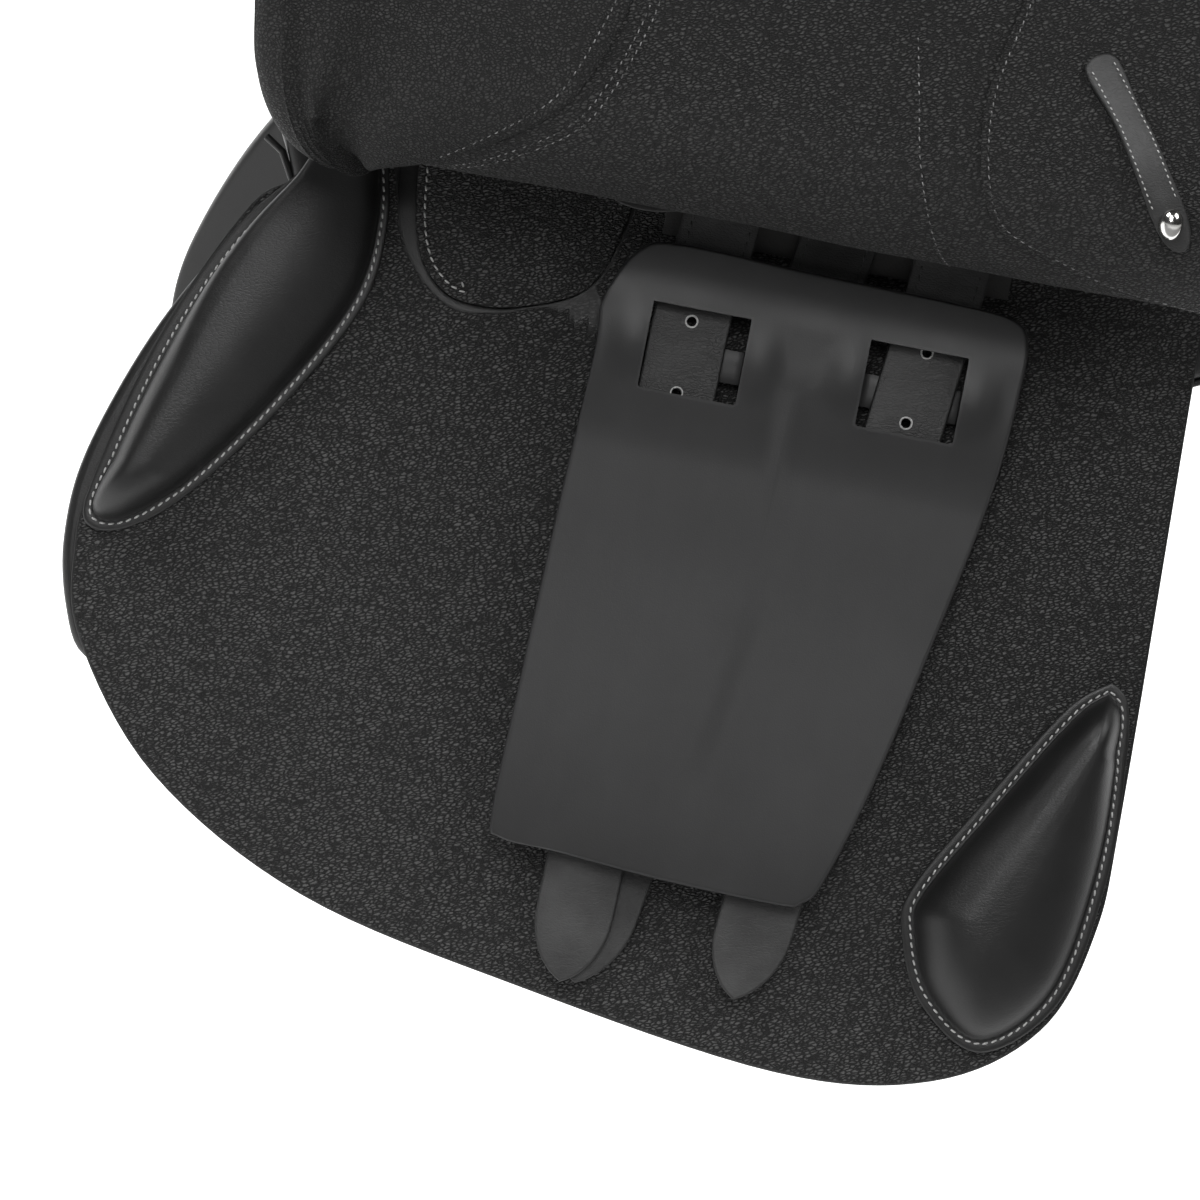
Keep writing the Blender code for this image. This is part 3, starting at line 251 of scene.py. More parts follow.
SEAT_LINE = ((POMMEL_X, 0.156), (-0.216, 0.178), (-0.150, 0.1526), (-0.070, 0.1324), (0.005, 0.125),
             (0.085, 0.1346), (0.160, 0.165), (0.210, 0.1946), (0.238, 0.205), (CANTLE_X, 0.191))
WELT_LINE = ((POMMEL_X, 0.142), (-0.216, 0.148), (-0.150, 0.127), (-0.070, 0.111), (0.005, 0.105),
             (0.085, 0.110), (0.160, 0.136), (0.210, 0.158), (0.238, 0.170), (CANTLE_X, 0.172))
WIDTH_LINE = ((POMMEL_X, 0.040), (-0.216, 0.052), (-0.130, 0.062), (-0.070, 0.070), (0.005, 0.092),
              (0.085, 0.120), (0.160, 0.136), (0.205, 0.138), (0.240, 0.120), (CANTLE_X, 0.088))
CHANNEL_LINE = ((POMMEL_X, 0.052), (-0.150, 0.018), (-0.050, 0.001), (0.020, 0.0), (0.110, 0.012),
                (0.190, 0.048), (CANTLE_X, 0.098))
DROP_LINE = ((POMMEL_X, 0.22), (-0.215, 0.32), (-0.190, 0.86), (-0.120, 1.0), (-0.040, 0.92),
             (0.040, 0.62), (0.104, 0.36), (0.160, 0.30))


def mix(a, b, share):
    """Point or number between a and b."""
    if isinstance(a, tuple):
        return tuple(p + (q - p) * share for p, q in zip(a, b))
    return a + (b - a) * share


def smoothstep(low, high, value):
    """Rises smoothly from 0 at low to 1 at high."""
    share = min(max((value - low) / (high - low), 0.0), 1.0)
    return share * share * (3 - 2 * share)


def spread(start, end, count):
    """Evenly spaced values from start to end."""
    return [mix(start, end, i / count) for i in range(count + 1)]


def through(knots, at):
    """Value at a place on the smooth line through (place, value) knots."""
    if at <= knots[0][0]:
        return knots[0][1]
    if at >= knots[-1][0]:
        return knots[-1][1]
    index = max(i for i in range(len(knots) - 1) if knots[i][0] <= at)

    def slope(i):
        before, after = knots[max(i - 1, 0)], knots[min(i + 1, len(knots) - 1)]
        return (after[1] - before[1]) / (after[0] - before[0])

    (x0, v0), (x1, v1) = knots[index], knots[index + 1]
    width = x1 - x0
    t = (at - x0) / width
    return ((2 * t**3 - 3 * t**2 + 1) * v0 + (t**3 - 2 * t**2 + t) * width * slope(index)
            + (3 * t**2 - 2 * t**3) * v1 + (t**3 - t**2) * width * slope(index + 1))


def curve_through(points, steps, closed=False):
    """Points along a smooth curve through the given points."""
    count = len(points)
    result = []
    for span in range(count if closed else count - 1):
        if closed:
            near = [points[(span + k) % count] for k in (-1, 0, 1, 2)]
        else:
            near = [points[min(max(span + k, 0), count - 1)] for k in (-1, 0, 1, 2)]
        for step in range(steps):
            t = step / steps
            result.append(tuple(0.5 * (2 * b + (c - a) * t + (2 * a - 5 * b + 4 * c - d) * t**2
                                       + (3 * b - a - 3 * c + d) * t**3) for a, b, c, d in zip(*near)))
    if not closed:
        result.append(tuple(points[-1]))
    return result


def even(points, pitch, closed=False):
    """Points at an even pitch along a broken line."""
    line = [Vector(p) for p in points] + ([Vector(points[0])] if closed else [])
    lengths = [0.0]
    for a, b in zip(line, line[1:]):
        lengths.append(lengths[-1] + (b - a).length)
    count = max(int(round(lengths[-1] / pitch)), 1)
    result, index = [], 0
    for i in range(count if closed else count + 1):
        target = lengths[-1] * i / count
        while index < len(line) - 2 and lengths[index + 1] < target:
            index += 1
        run = lengths[index + 1] - lengths[index]
        result.append(tuple(line[index].lerp(line[index + 1],
                                             (target - lengths[index]) / run if run else 0)))
    return result


def outline(points, pitch=0.002):
    """Closed outline through (x, s) points at an even pitch; a third element marks a corner."""
    corners = [i for i, p in enumerate(points) if len(p) > 2]
    flat = [tuple(p[:2]) for p in points]
    if not corners:
        return even(curve_through(flat, 8, True), pitch, True)
    result = []
    for start, end in zip(corners, corners[1:] + [corners[0] + len(points)]):
        run = [flat[i % len(flat)] for i in range(start, end + 1)]
        result += even(curve_through(run, 8), pitch)[:-1]
    return result


def section(s, n):
    """(y, z) of a point of the right side plane."""
    return (HINGE_Y + s * math.sin(FLARE) + n * math.cos(FLARE),
            HINGE_Z - s * math.cos(FLARE) + n * math.sin(FLARE))


def place(side, x, s, n=0.0):
    """Place on the saddle of a point of a side plane."""
    y, z = section(s, n)
    return (x + PLANE_X, -y if side == "left" else y, z)


def outward(side):
    """Direction away from the horse, square to a side plane."""
    y = math.cos(FLARE)
    return Vector((0, -y if side == "left" else y, math.sin(FLARE)))


def finish_piece(name, material, body, angle=40):
    """Names the active object, closes its seams, shades it and lets it ride on its body."""
    piece = bpy.context.active_object
    piece.name = name
    piece.data.name = name
    bpy.ops.object.transform_apply(location=True, rotation=True, scale=True)
    bpy.ops.object.mode_set(mode="EDIT")
    bpy.ops.mesh.select_all(action="SELECT")
    bpy.ops.mesh.remove_doubles(threshold=0.000004)
    bpy.ops.mesh.normals_make_consistent(inside=False)
    bpy.ops.object.mode_set(mode="OBJECT")
    bpy.ops.object.shade_smooth_by_angle(angle=math.radians(angle))
    piece.data.materials.clear()
    piece.data.materials.append(material)
    if body:
        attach(piece, body)
    return piece


def modify(piece, kind, **settings):
    """Adds a modifier and applies it at once."""
    modifier = piece.modifiers.new(kind.lower(), kind)
    for name, value in settings.items():
        setattr(modifier, name, value)
    bpy.ops.object.modifier_apply(modifier=modifier.name)


def new_grid(columns, rows):
    """Flat grid whose vertices run column by column, ready to be shaped."""
    bpy.ops.object.select_all(action="DESELECT")
    bpy.ops.mesh.primitive_grid_add(x_subdivisions=columns - 1, y_subdivisions=rows - 1, size=2)
    return bpy.context.active_object


def skin(rings, closed=True, capped=True):
    """Grid shaped over rings of points: closed round each ring, and capped at both ends."""
    columns = len(rings[0]) + (1 if closed else 0)
    piece = new_grid(columns, len(rings))
    mesh = piece.data
    for vertex in mesh.vertices:
        column = round((vertex.co.x + 1) / 2 * (columns - 1))
        row = round((vertex.co.y + 1) / 2 * (len(rings) - 1))
        vertex.co = rings[row][column % len(rings[0])]
    if closed:
        bpy.ops.object.mode_set(mode="EDIT")
        bpy.ops.mesh.select_all(action="SELECT")
        bpy.ops.mesh.remove_doubles(threshold=0.000004)
        if capped:
            bpy.ops.mesh.select_all(action="DESELECT")
            bpy.ops.mesh.select_non_manifold(extend=False)
            bpy.ops.mesh.edge_face_add()
            bpy.ops.mesh.select_all(action="DESELECT")
        bpy.ops.object.mode_set(mode="OBJECT")
    return piece


def write_attribute(piece, name, value_at):
    """Number on each vertex, from its place."""
    layer = piece.data.attributes.new(name, "FLOAT", "POINT")
    for vertex, item in zip(piece.data.vertices, layer.data):
        item.value = value_at(vertex.co)


def tube(name, points, radius, material, body, sides=8, closed=False):
    """Round cord or wire along points."""
    line = [Vector(p) for p in points]
    rings, up = [], None
    for i, point in enumerate(line):
        if closed:
            run = line[(i + 1) % len(line)] - line[i - 1]
        else:
            run = line[min(i + 1, len(line) - 1)] - line[max(i - 1, 0)]
        run.normalize()
        if up is None:
            up = run.orthogonal()
        up = (up - run * up.dot(run)).normalized()
        side_way = run.cross(up)
        size = radius(i / (len(line) - 1)) if callable(radius) else radius
        rings.append([tuple(point + (up * math.cos(a) + side_way * math.sin(a)) * size)
                      for a in spread(0, 2 * math.pi, sides)[:-1]])
    if closed:
        rings.append(rings[0])
    skin(rings, capped=not closed)
    return finish_piece(name, material, body, 60)


def nearest_on(spine, point):
    """Nearest point of a broken line."""
    best = None
    for start, end in zip(spine, spine[1:]):
        run = (end[0] - start[0], end[1] - start[1])
        reach = (point[0] - start[0]) * run[0] + (point[1] - start[1]) * run[1]
        share = reach / (run[0]**2 + run[1]**2)
        foot = mix(tuple(start), tuple(end), min(max(share, 0.0), 1.0))
        distance = math.dist(foot, point)
        if best is None or distance < best[0]:
            best = (distance, foot)
    return best[1]


def cut_leather(side, edge, spine, n, thickness, relief=None, rounding=0.7 * MM, at=place,
                borders=(1.2, 2.2, 3.4, 5.0, 7.0), shares=(0.2, 0.4, 0.6, 0.8, 0.94)):
    """Closed piece cut from hide with a rounded edge; relief(x, s, distance from the edge) lifts it."""
    feet = [nearest_on(spine, p) for p in edge]
    spans = [max(math.dist(p, f), 1e-6) for p, f in zip(edge, feet)]

    def ring(distance, share, level, face):
        made = []
        for point, foot, span in zip(edge, feet, spans):
            reach = min(distance, 0.8 * span)
            reach += (0.985 * span - reach) * share
            x, s = mix(tuple(point), foot, reach / span)
            lift = relief(x, s, reach) if (relief and face) else 0.0
            made.append(at(side, x, s, level + lift))
        return made

    last = borders[-1] * MM
    rings = [ring(last, share, n, False) for share in reversed(shares)]
    rings += [ring(last, 0, n, False), ring(rounding, 0, n, False)]
    rings += [ring(rounding * 0.3, 0, n + rounding * 0.3, False), ring(0, 0, n + rounding, False)]
    top = n + thickness
    rings += [ring(0, 0, top - rounding, True), ring(rounding * 0.3, 0, top - rounding * 0.3, True),
              ring(rounding, 0, top, True)]
    rings += [ring(border * MM, 0, top, True) for border in borders]
    rings += [ring(last, share, top, True) for share in shares]
    return skin(rings, capped=True)


def inset(points, distance, closed=True):
    """Broken line moved to its inner side by a distance."""
    count = len(points)
    area = sum(points[i][0] * points[(i + 1) % count][1] - points[(i + 1) % count][0] * points[i][1]
               for i in range(count))
    sign = 1 if area > 0 else -1
    moved = []
    for i, point in enumerate(points):
        before = points[(i - 2) % count] if closed else points[max(i - 2, 0)]
        after = points[(i + 2) % count] if closed else points[min(i + 2, count - 1)]
        run = (after[0] - before[0], after[1] - before[1])
        size = math.hypot(*run) or 1.0
        moved.append((point[0] - sign * run[1] / size * distance,
                      point[1] + sign * run[0] / size * distance))
    return moved


# Thread
# Waxed polyester in slanting saddler's stitches. Each stitch is sunk at both ends in its holes.

thread_light, w = new_material("pale_thread", 0.55, colour=(0.20, 0.20, 0.20))
twist = noise(w, here(w), 1400.0, 1.0)
feed(thread_light, base_color=twist.tint((0.16, 0.16, 0.16), (0.62, 0.62, 0.61)),
     normal=bump(w, twist, 0.3, 0.0002))
thread_dark, w = new_material("black_thread", 0.5, colour=(0.02, 0.02, 0.02))
twist = noise(w, here(w), 1400.0, 1.0)
feed(thread_dark, base_color=twist.tint((0.004, 0.004, 0.004), (0.035, 0.035, 0.035)),
     normal=bump(w, twist, 0.3, 0.0002))
thread_grey, w = new_material("grey_thread", 0.5, colour=(0.05, 0.05, 0.05))
twist = noise(w, here(w), 700.0, 2.0)
feed(thread_grey, base_color=twist.ramp(0.35, 0.65).tint((0.02, 0.02, 0.02), (0.22, 0.22, 0.22)),
     normal=bump(w, twist, 0.3, 0.0002))

STITCH_PITCH = 2.95 * MM
STITCH_LENGTH = 2.0 * MM
STITCH_RADIUS = 0.30 * MM
STITCH_SLANT = math.radians(9)


def stitches(name, path, ups, thread, body, slot, pitch=STITCH_PITCH, length=STITCH_LENGTH,
             radius=STITCH_RADIUS, closed=False):
    """One row of stitches along points on a surface, whose outward directions are given too."""
    line = [Vector(p) for p in path]
    if closed:
        line.append(line[0])
        ups = list(ups) + [ups[0]]
    lengths = [0.0]
    for a, b in zip(line, line[1:]):
        lengths.append(lengths[-1] + (b - a).length)
    count = max(int(lengths[-1] / pitch), 1)
    vertices, faces = [], []
    index = 0
    profile = ((-1.0, 0.25), (-0.8, 0.8), (0.0, 1.0), (0.8, 0.8), (1.0, 0.25))
    for i in range(count):
        middle = lengths[-1] * (i + 0.5) / count
        while index < len(line) - 2 and lengths[index + 1] < middle:
            index += 1
        share = (middle - lengths[index]) / max(lengths[index + 1] - lengths[index], 1e-9)
        centre = line[index].lerp(line[index + 1], share)
        run = (line[index + 1] - line[index]).normalized()
        up = Vector(ups[index]).lerp(Vector(ups[index + 1]), share).normalized()
        across = up.cross(run).normalized()
        run = run * math.cos(STITCH_SLANT) + across * math.sin(STITCH_SLANT)
        across = up.cross(run).normalized()
        first = len(vertices)
        for along, size in profile:
            lift = radius * (0.55 - 0.9 * along * along)
            for turn in spread(0, 2 * math.pi, 6)[:-1]:
                rise = lift + radius * size * math.sin(turn)
                vertices.append(centre + run * (along * length / 2) + up * rise
                                + across * (radius * size * 1.15 * math.cos(turn)))
        for ring in range(len(profile) - 1):
            for k in range(6):
                a, b = first + ring * 6 + k, first + ring * 6 + (k + 1) % 6
                faces.append((a, b, b + 6, a + 6))
        faces.append([first + k for k in reversed(range(6))])
        faces.append([first + (len(profile) - 1) * 6 + k for k in range(6)])
    mesh = bpy.data.meshes.new(name)
    mesh.from_pydata([tuple(v) for v in vertices], [], faces)
    row = bpy.data.objects.new(name, mesh)
    bpy.context.scene.collection.objects.link(row)
    bpy.ops.object.select_all(action="DESELECT")
    row.select_set(True)
    bpy.context.view_layer.objects.active = row
    return finish_piece(name, thread, body, 70)


def flat_row(name, side, points, n, thread, body="saddle", slot="strap_leather", closed=False,
             height=None, **sizes):
    """Row of stitches on a piece that lies in a side plane."""
    path = [place(side, x, s, n + (height(x, s) if height else 0.0)) for x, s in points]
    return stitches(name, path, [outward(side)] * len(path), thread, body, slot, closed=closed, **sizes)


# Leathers
# All are cowhide: a pebble-grained one for the flaps, smooth calf for the seat, blocks and
# skirts, bridle leather for the straps, and a stiff butt leather for the girth guard.


def rim(w, width):
    """1 on the painted edge of a piece, 0 further in."""
    distance = w.node("Attribute", {"attribute_name": "edge"}, output=2)
    return 1 - distance.ramp(width * 0.5, width)


def grained_hide(name, size, depth, dark, light, turn=0.40, stretch=2.2, roughness=0.50):
    """Pebble grain: rounded cells drawn out one way, with fine creases between them. Its colour follows
    the grain's height, so the creases carry painted shade and the pebble tops painted light.
    """
    material, w = new_material(name, roughness, specular_ior_level=0.35)
    drawn_out = w.node("Mapping", {}, {"Vector": here(w, turn=(0, turn, 0)), "Scale": (1, 1, stretch)})
    at = stirred(w, drawn_out, 260.0, 0.0013)
    pebbles = cells(w, at, 1 / size).ramp(0.0, 0.34)
    small = cells(w, at, 2.3 / size).ramp(0.0, 0.4)
    patches = noise(w, here(w), 26.0, 3.0)
    pores = noise(w, here(w), 2600.0, 2.0)
    height = pebbles * 0.72 + small * 0.28
    # colour follows the pebbles' height: painted shade in the creases and painted light on the pebble
    # tops, with real patches and pores
    tone_and_painted_light = height * 0.92 + patches * 0.15 + pores * 0.12
    painted = rim(w, 0.0013)
    feed(material,
         base_color=(tone_and_painted_light.ramp(0.22, 1.12) * (1 - painted)).tint(dark, light),
         roughness=roughness + 0.16 * (1 - pebbles) + 0.10 * patches - 0.14 * painted,
         normal=bump(w, (height + 0.12 * pores) * (1 - painted), 1.0, depth))
    return material


def smooth_hide(name, dark, light, roughness, crease=0.00005, painted_edge=True):
    """Smooth leather with fine pores, faint creases and a soft cloudiness."""
    material, w = new_material(name, roughness, specular_ior_level=0.45)
    pores = noise(w, here(w), 1900.0, 3.0)
    folds = cells(w, stirred(w, here(w, (1, 1, 2.2), (0, 0.3, 0)), 120.0, 0.003), 520.0).ramp(0.0, 0.16)
    clouds = noise(w, here(w), 34.0, 4.0)
    painted = rim(w, 0.0011) if painted_edge else 0.0
    feed(material,
         base_color=(clouds.ramp(0.3, 0.75) * (1 - painted)).tint(dark, light),
         roughness=roughness + 0.12 * (clouds - 0.5) + 0.06 * pores,
         normal=bump(w, folds * 0.6 + pores * 0.4, 0.7, crease))
    return material


grain = grained_hide("grained_leather", 0.00200, 0.00090, (0.002, 0.002, 0.002), (0.056, 0.056, 0.055))
# The same grained hide with a lighter colour for the sweat flaps and point pockets: the extra lightness
# is painted light, not another leather.
grain_lit_copy = grained_hide("grained_leather_lit_copy", 0.00200, 0.00090, (0.004, 0.004, 0.004),
                           (0.105, 0.105, 0.104))
grain_soft = grained_hide("grained_leather_soft", 0.00140, 0.00060, (0.002, 0.002, 0.002),
                          (0.040, 0.040, 0.039),
                          0.3, 1.4)
calf = smooth_hide("smooth_calf", (0.005, 0.005, 0.005), (0.009, 0.009, 0.009), 0.40)
lining = smooth_hide("lining_leather", (0.010, 0.010, 0.010), (0.020, 0.020, 0.020), 0.55)
bridle = smooth_hide("strap_leather", (0.012, 0.012, 0.012), (0.040, 0.040, 0.040), 0.50, 0.00016)
bridle_plain = smooth_hide("strap_leather_plain", (0.012, 0.012, 0.012), (0.030, 0.030, 0.030), 0.46,
                           0.00010, False)

butt, w = new_material("guard_leather", 0.42, specular_ior_level=0.42)
clouds = noise(w, here(w), 22.0, 4.0)
streaks = noise(w, here(w, (4, 1, 1)), 24.0, 3.0)
pores = noise(w, here(w), 2200.0, 2.0)
painted = rim(w, 0.0012)
# the edge band is made lighter: a painted highlight where the rounded edge catches the light
tone_and_painted_light = clouds * 0.65 + streaks * 0.2 + pores * 0.15 + painted * 0.5
feed(butt, base_color=tone_and_painted_light.ramp(0.3, 0.9).tint((0.006, 0.006, 0.0062), (0.020, 0.020, 0.0205)),
     roughness=0.36 + 0.16 * clouds + 0.05 * pores, normal=bump(w, pores + 0.6 * clouds, 0.35, 0.00008))

nickel, w = new_material("polished_nickel", 0.12, 1.0, (0.75, 0.74, 0.72))
tarnish = noise(w, here(w), 160.0, 3.0)
feed(nickel, roughness=0.08 + 0.14 * tarnish,
     base_color=tarnish.tint((0.62, 0.61, 0.59), (0.80, 0.79, 0.77)))


def mark_edge(piece, edge_points, reach=0.006):
    """Writes on each vertex how far it lies from the piece's cut edge."""
    tree = KDTree(len(edge_points))
    for i, point in enumerate(edge_points):
        tree.insert(point, i)
    tree.balance()
    write_attribute(piece, "edge", lambda co: min(tree.find(co)[2], reach))


def plain_edge(piece):
    """For a piece with no painted edge."""
    write_attribute(piece, "edge", lambda co: 0.01)


# Panels
# Wool-filled cushions of smooth calf, one on each side of the channel. Each is lashed under the tree
# and its front runs down behind the sweat flap, where a soft edge shows past it.

def welt_height(x):
    """Height of the seat's lower edge."""
    return through(WELT_LINE, x)


def cantle_share(x):
    """0 where the tree's flank follows the side plane, 1 where it is tucked under the cantle."""
    return smoothstep(TUCK_START, TUCK_END, x)


def tree_face(x, depth, flank_n, lift=0.0):
    """Half-section of a face of the tree, from the middle to the foot of its flank."""
    width = through(WIDTH_LINE, x)
    middle = through(SEAT_LINE, x) - 0.030 - depth
    shoulder = welt_height(x) - 0.012 - depth
    tuck = cantle_share(x)
    inward = depth * 1.2
    flank_top = mix(section(-FLANK_HEIGHT, flank_n), (width - inward - 0.0025, shoulder - 0.007), tuck)
    flank_foot = mix(section(0.0, flank_n), (width - inward - 0.008, shoulder - 0.014), tuck)
    corners = [(0.0, middle), (0.5 * width, mix(middle, shoulder, 0.30)),
               (width - inward * mix(0.4, 1.1, tuck), shoulder)]
    points = curve_through(corners, 4)
    points += [(y, z + 1.5 * MM)
               for y, z in (mix(corners[-1], flank_top, share) for share in (0.33, 0.67))]
    return [(y, z + lift) for y, z in points + [flank_top, flank_foot]]


PANEL_DROP = 0.150  # of its lower edge down the sweat flap, where the line of drops is 1


def panel_ring(x):
    """Half-section of a panel: under the tree, down the sweat flap and back along the horse."""
    tuck = cantle_share(x)
    channel = through(CHANNEL_LINE, x)
    drop = PANEL_DROP * through(DROP_LINE, x)
    under = [(y - 2 * GAP, z - GAP) for y, z in tree_face(x, 0.012, FLANK_INNER)]
    foot = (under[-1][0] - 0.005, under[-1][1] - 0.008)
    tucked_step = (under[-2][0] - 0.004, under[-2][1] - 0.003)
    ease = 0.018 * tuck * (1 - tuck)
    top = under[4:-2]
    step = mix(section(-FLANK_HEIGHT + 0.004, FLANK_INNER - 2 * MM), tucked_step, tuck)
    edge = mix(section(-FLANK_HEIGHT + 0.010, -GAP), foot, tuck)
    top += [(step[0] - ease, step[1]), (edge[0] - ease, edge[1])]
    wall = (foot[1] - channel) * 0.7
    outer = []
    for share in (0.10, 0.36, 0.64, 0.95):
        tucked = (foot[0] + 0.006 * math.sin(math.pi * share), foot[1] - wall * share)
        outer.append(mix(section(drop * share, -GAP), tucked, tuck))
    inner = [
        mix(section(drop, -0.006), (foot[0] - 0.010, channel + 0.008), tuck),
        mix(section(0.93 * drop, -0.016), (foot[0] - 0.026, channel + 0.002), tuck),
        mix(section(0.60 * drop, -0.036), (mix(foot[0], 0.050, 0.55), channel), tuck),
        mix(section(0.22 * drop, -0.048), (mix(foot[0], 0.050, 0.80), channel), tuck),
        (0.043, channel - 0.003 * (1 - tuck)), (0.032, channel + 0.007),
        (max(0.031, top[0][0]) + 0.001, top[0][1] - 0.010)]
    return top + outer + inner


PANEL_STATIONS = 44
SEAM_POINTS = 4  # sections over which a panel's end is drawn in

for side in SIDES:
    sign = -1 if side == "left" else 1
    rings = []
    for i, x in enumerate(spread(TREE_FRONT + 0.001, TREE_REAR - 0.001, PANEL_STATIONS)):
        ring = panel_ring(x)
        middle = (sum(p[0] for p in ring) / len(ring), sum(p[1] for p in ring) / len(ring))
        end = min(i, PANEL_STATIONS - i)
        draw_in = 0.10 * (1 - min(end / SEAM_POINTS, 1)) ** 2
        rings.append([(x, sign * y, z) for y, z in (mix(p, middle, draw_in) for p in ring)])
    panel = skin(rings)
    modify(panel, "SUBSURF", levels=1, render_levels=1)
    finish_piece("panel_cushion_" + side, calf, "saddle", 50)
    plain_edge(panel)
    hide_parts("panel_" + side)
    welt = []
    for x in spread(TREE_FRONT + 0.004, 0.150, 60):
        y, z = panel_ring(x)[13]
        welt.append((x, sign * (y + 0.0004), z))
    tube("panel_welt_" + side, welt, 1.3 * MM, calf, "saddle")
    plain_edge(bpy.context.active_object)

FRONT_EDGE = ((-0.100, 0.050), (-0.128, 0.070), (-0.149, 0.105), (-0.1645, 0.150), (-0.1668, 0.180),
              (-0.1615, 0.204), (-0.152, 0.219), (-0.130, 0.220), (-0.112, 0.190), (-0.100, 0.140),
              (-0.092, 0.090), (-0.090, 0.060))
FRONT_SPINE = ((-0.106, 0.080), (-0.125, 0.130), (-0.135, 0.185))
for side in SIDES:
    edge = outline(FRONT_EDGE, 0.003)
    piece = cut_leather(side, edge, FRONT_SPINE, -0.0105, 0.0100, rounding=2.6 * MM,
                        borders=(3.0, 5.0, 7.0, 9.0), shares=(0.3, 0.6, 0.9))
    finish_piece("panel_front_" + side, calf, "saddle", 60)
    plain_edge(piece)


# Sweat flaps
# One grained hide each, 3.5 mm thick with a painted edge, that lies on the horse. A round-bottomed
# opening is cut in it over the point of the tree.

SWEAT_THICKNESS = 3.5 * MM
SWEAT_OUTLINE = ((-0.098, -0.025, 1), (-0.107, 0.040), (-0.126, 0.060), (-0.1475, 0.108),
                 (-0.1605, 0.160), (-0.1622, 0.184), (-0.155, 0.213), (-0.122, 0.253), (-0.066, 0.283),
                 (0.010, 0.299), (0.100, 0.311), (0.152, 0.304), (0.184, 0.281), (0.196, 0.246),
                 (0.197, 0.200), (0.193, 0.050), (0.192, -0.025, 1))
SWEAT_SPINE = ((-0.020, 0.070), (0.010, 0.160), (0.070, 0.180))
CUTOUT = ((0.000, 0.0063, 1), (0.000, 0.030), (-0.008, 0.0640), (-0.030, 0.0770), (-0.054, 0.0810),
          (-0.0725, 0.0650), (-0.080, 0.040), (-0.080, 0.0063, 1))


def cut_through(piece, edge, side, low, high):
    """Cuts a hole with the outline through a piece."""
    rings = [[place(side, x, s, n) for x, s in edge] for n in (low, high)]
    cutter = skin(rings)
    bpy.ops.object.mode_set(mode="EDIT")
    bpy.ops.mesh.select_all(action="SELECT")
    bpy.ops.mesh.normals_make_consistent(inside=False)
    bpy.ops.object.mode_set(mode="OBJECT")
    bpy.ops.object.select_all(action="DESELECT")
    piece.select_set(True)
    bpy.context.view_layer.objects.active = piece
    modify(piece, "BOOLEAN", object=cutter, operation="DIFFERENCE", solver="EXACT")
    bpy.data.objects.remove(cutter, do_unlink=True)


for side in SIDES:
    edge = outline(SWEAT_OUTLINE)
    hole = outline(CUTOUT, 0.0015)
    piece = cut_leather(side, edge, SWEAT_SPINE, 0.0, SWEAT_THICKNESS, rounding=0.9 * MM,
                        shares=(0.12, 0.25, 0.38, 0.5, 0.62, 0.74, 0.86, 0.96))
    cut_through(piece, hole, side, -0.004, 0.008)
    # the sweat flap takes the lighter copy of the grained hide, whose extra lightness is painted light
    finish_piece("sweat_flap_hide_" + side, grain_lit_copy, "saddle", 50)
    mark_edge(piece, [place(side, x, s, n) for x, s in edge + hole for n in (0.0, SWEAT_THICKNESS)])
    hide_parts("sweat_flap_" + side)


# Knee and thigh blocks
# Moulded foam pads under smooth calf. The calf is turned out to a flat border and stitched down
# with pale thread; the block swells from the stitches to a rounded crest.

BLOCK_BORDER = 1.6 * MM
BLOCK_BASE = 3.8 * MM
KNEE_HEIGHT = 0.0188
KNEE_BORDER_WIDTH = 0.0034
KNEE_OVERHANG = 0.0034  # of the crest past the upper front edge
THIGH_HEIGHT = 0.018
THIGH_BORDER_WIDTH = 0.0040


def padded_block(name, side, points, spine, height, profile, border, overhang=0.0):
    """Stitched-down block with its border and its crest, which may overhang its front edge at the top."""
    edge = outline(points, 0.002)
    feet = [nearest_on(spine, p) for p in edge]
    fronts = [smoothstep(0.0, 0.9, (f[0] - p[0]) / max(math.dist(p, f), 1e-6))
              for p, f in zip(edge, feet)]
    borders = [border + 0.3 * overhang * front for front in fronts]
    rings = []
    for rise, way in ((0.0, 0.9), (0.0, 0.5), (0.0, 0.1), (0.0, 0.012), (0.4, 0.0), (0.75, 0.0)):
        ring = []
        for point, foot in zip(edge, feet):
            x, s = mix(tuple(point), foot, way)
            ring.append(place(side, x, s, BLOCK_BASE + rise * BLOCK_BORDER))
        rings.append(ring)
    for part, extra, sink in ((0.0, 0.0007, 0.0), (0.0, 0.0016, 0.0), (1.0, -0.0012, 0.0),
                              (1.0, -0.0003, -0.15), (1.0, 0.0004, -0.05)):
        ring = []
        for point, foot, border in zip(edge, feet, borders):
            span = max(math.dist(point, foot), 1e-6)
            x, s = mix(tuple(point), foot, min((part * border + extra) / span, 0.8))
            ring.append(place(side, x, s, BLOCK_BASE + BLOCK_BORDER * (1 + sink)))
        rings.append(ring)
    for share in spread(0.03, 0.985, 15):
        ring = []
        for point, foot, border, front in zip(edge, feet, borders, fronts):
            span = max(math.dist(point, foot), 1e-6)
            start = min(border / span, 0.8)
            lean = overhang * front * (1 - smoothstep(0.080, 0.125, point[1])) * math.sin(math.pi * share)
            x, s = mix(tuple(point), foot, start + (1 - start) * share - lean / span)
            rise = mix(BLOCK_BORDER, height, through(profile, share))
            ring.append(place(side, x, s, BLOCK_BASE + rise))
        rings.append(ring)
    piece = skin(rings, capped=True)
    finish_piece(name, calf, "saddle", 80)
    plain_edge(piece)
    row = [mix(tuple(p), f, (b - 0.0010) / max(math.dist(p, f), 1e-6))
           for p, f, b in zip(edge, feet, borders)]
    flat_row(name + "_stitches", side, even(row, 0.001, True), BLOCK_BASE + BLOCK_BORDER, thread_light,
             slot="smooth_calf", closed=True)
    return piece


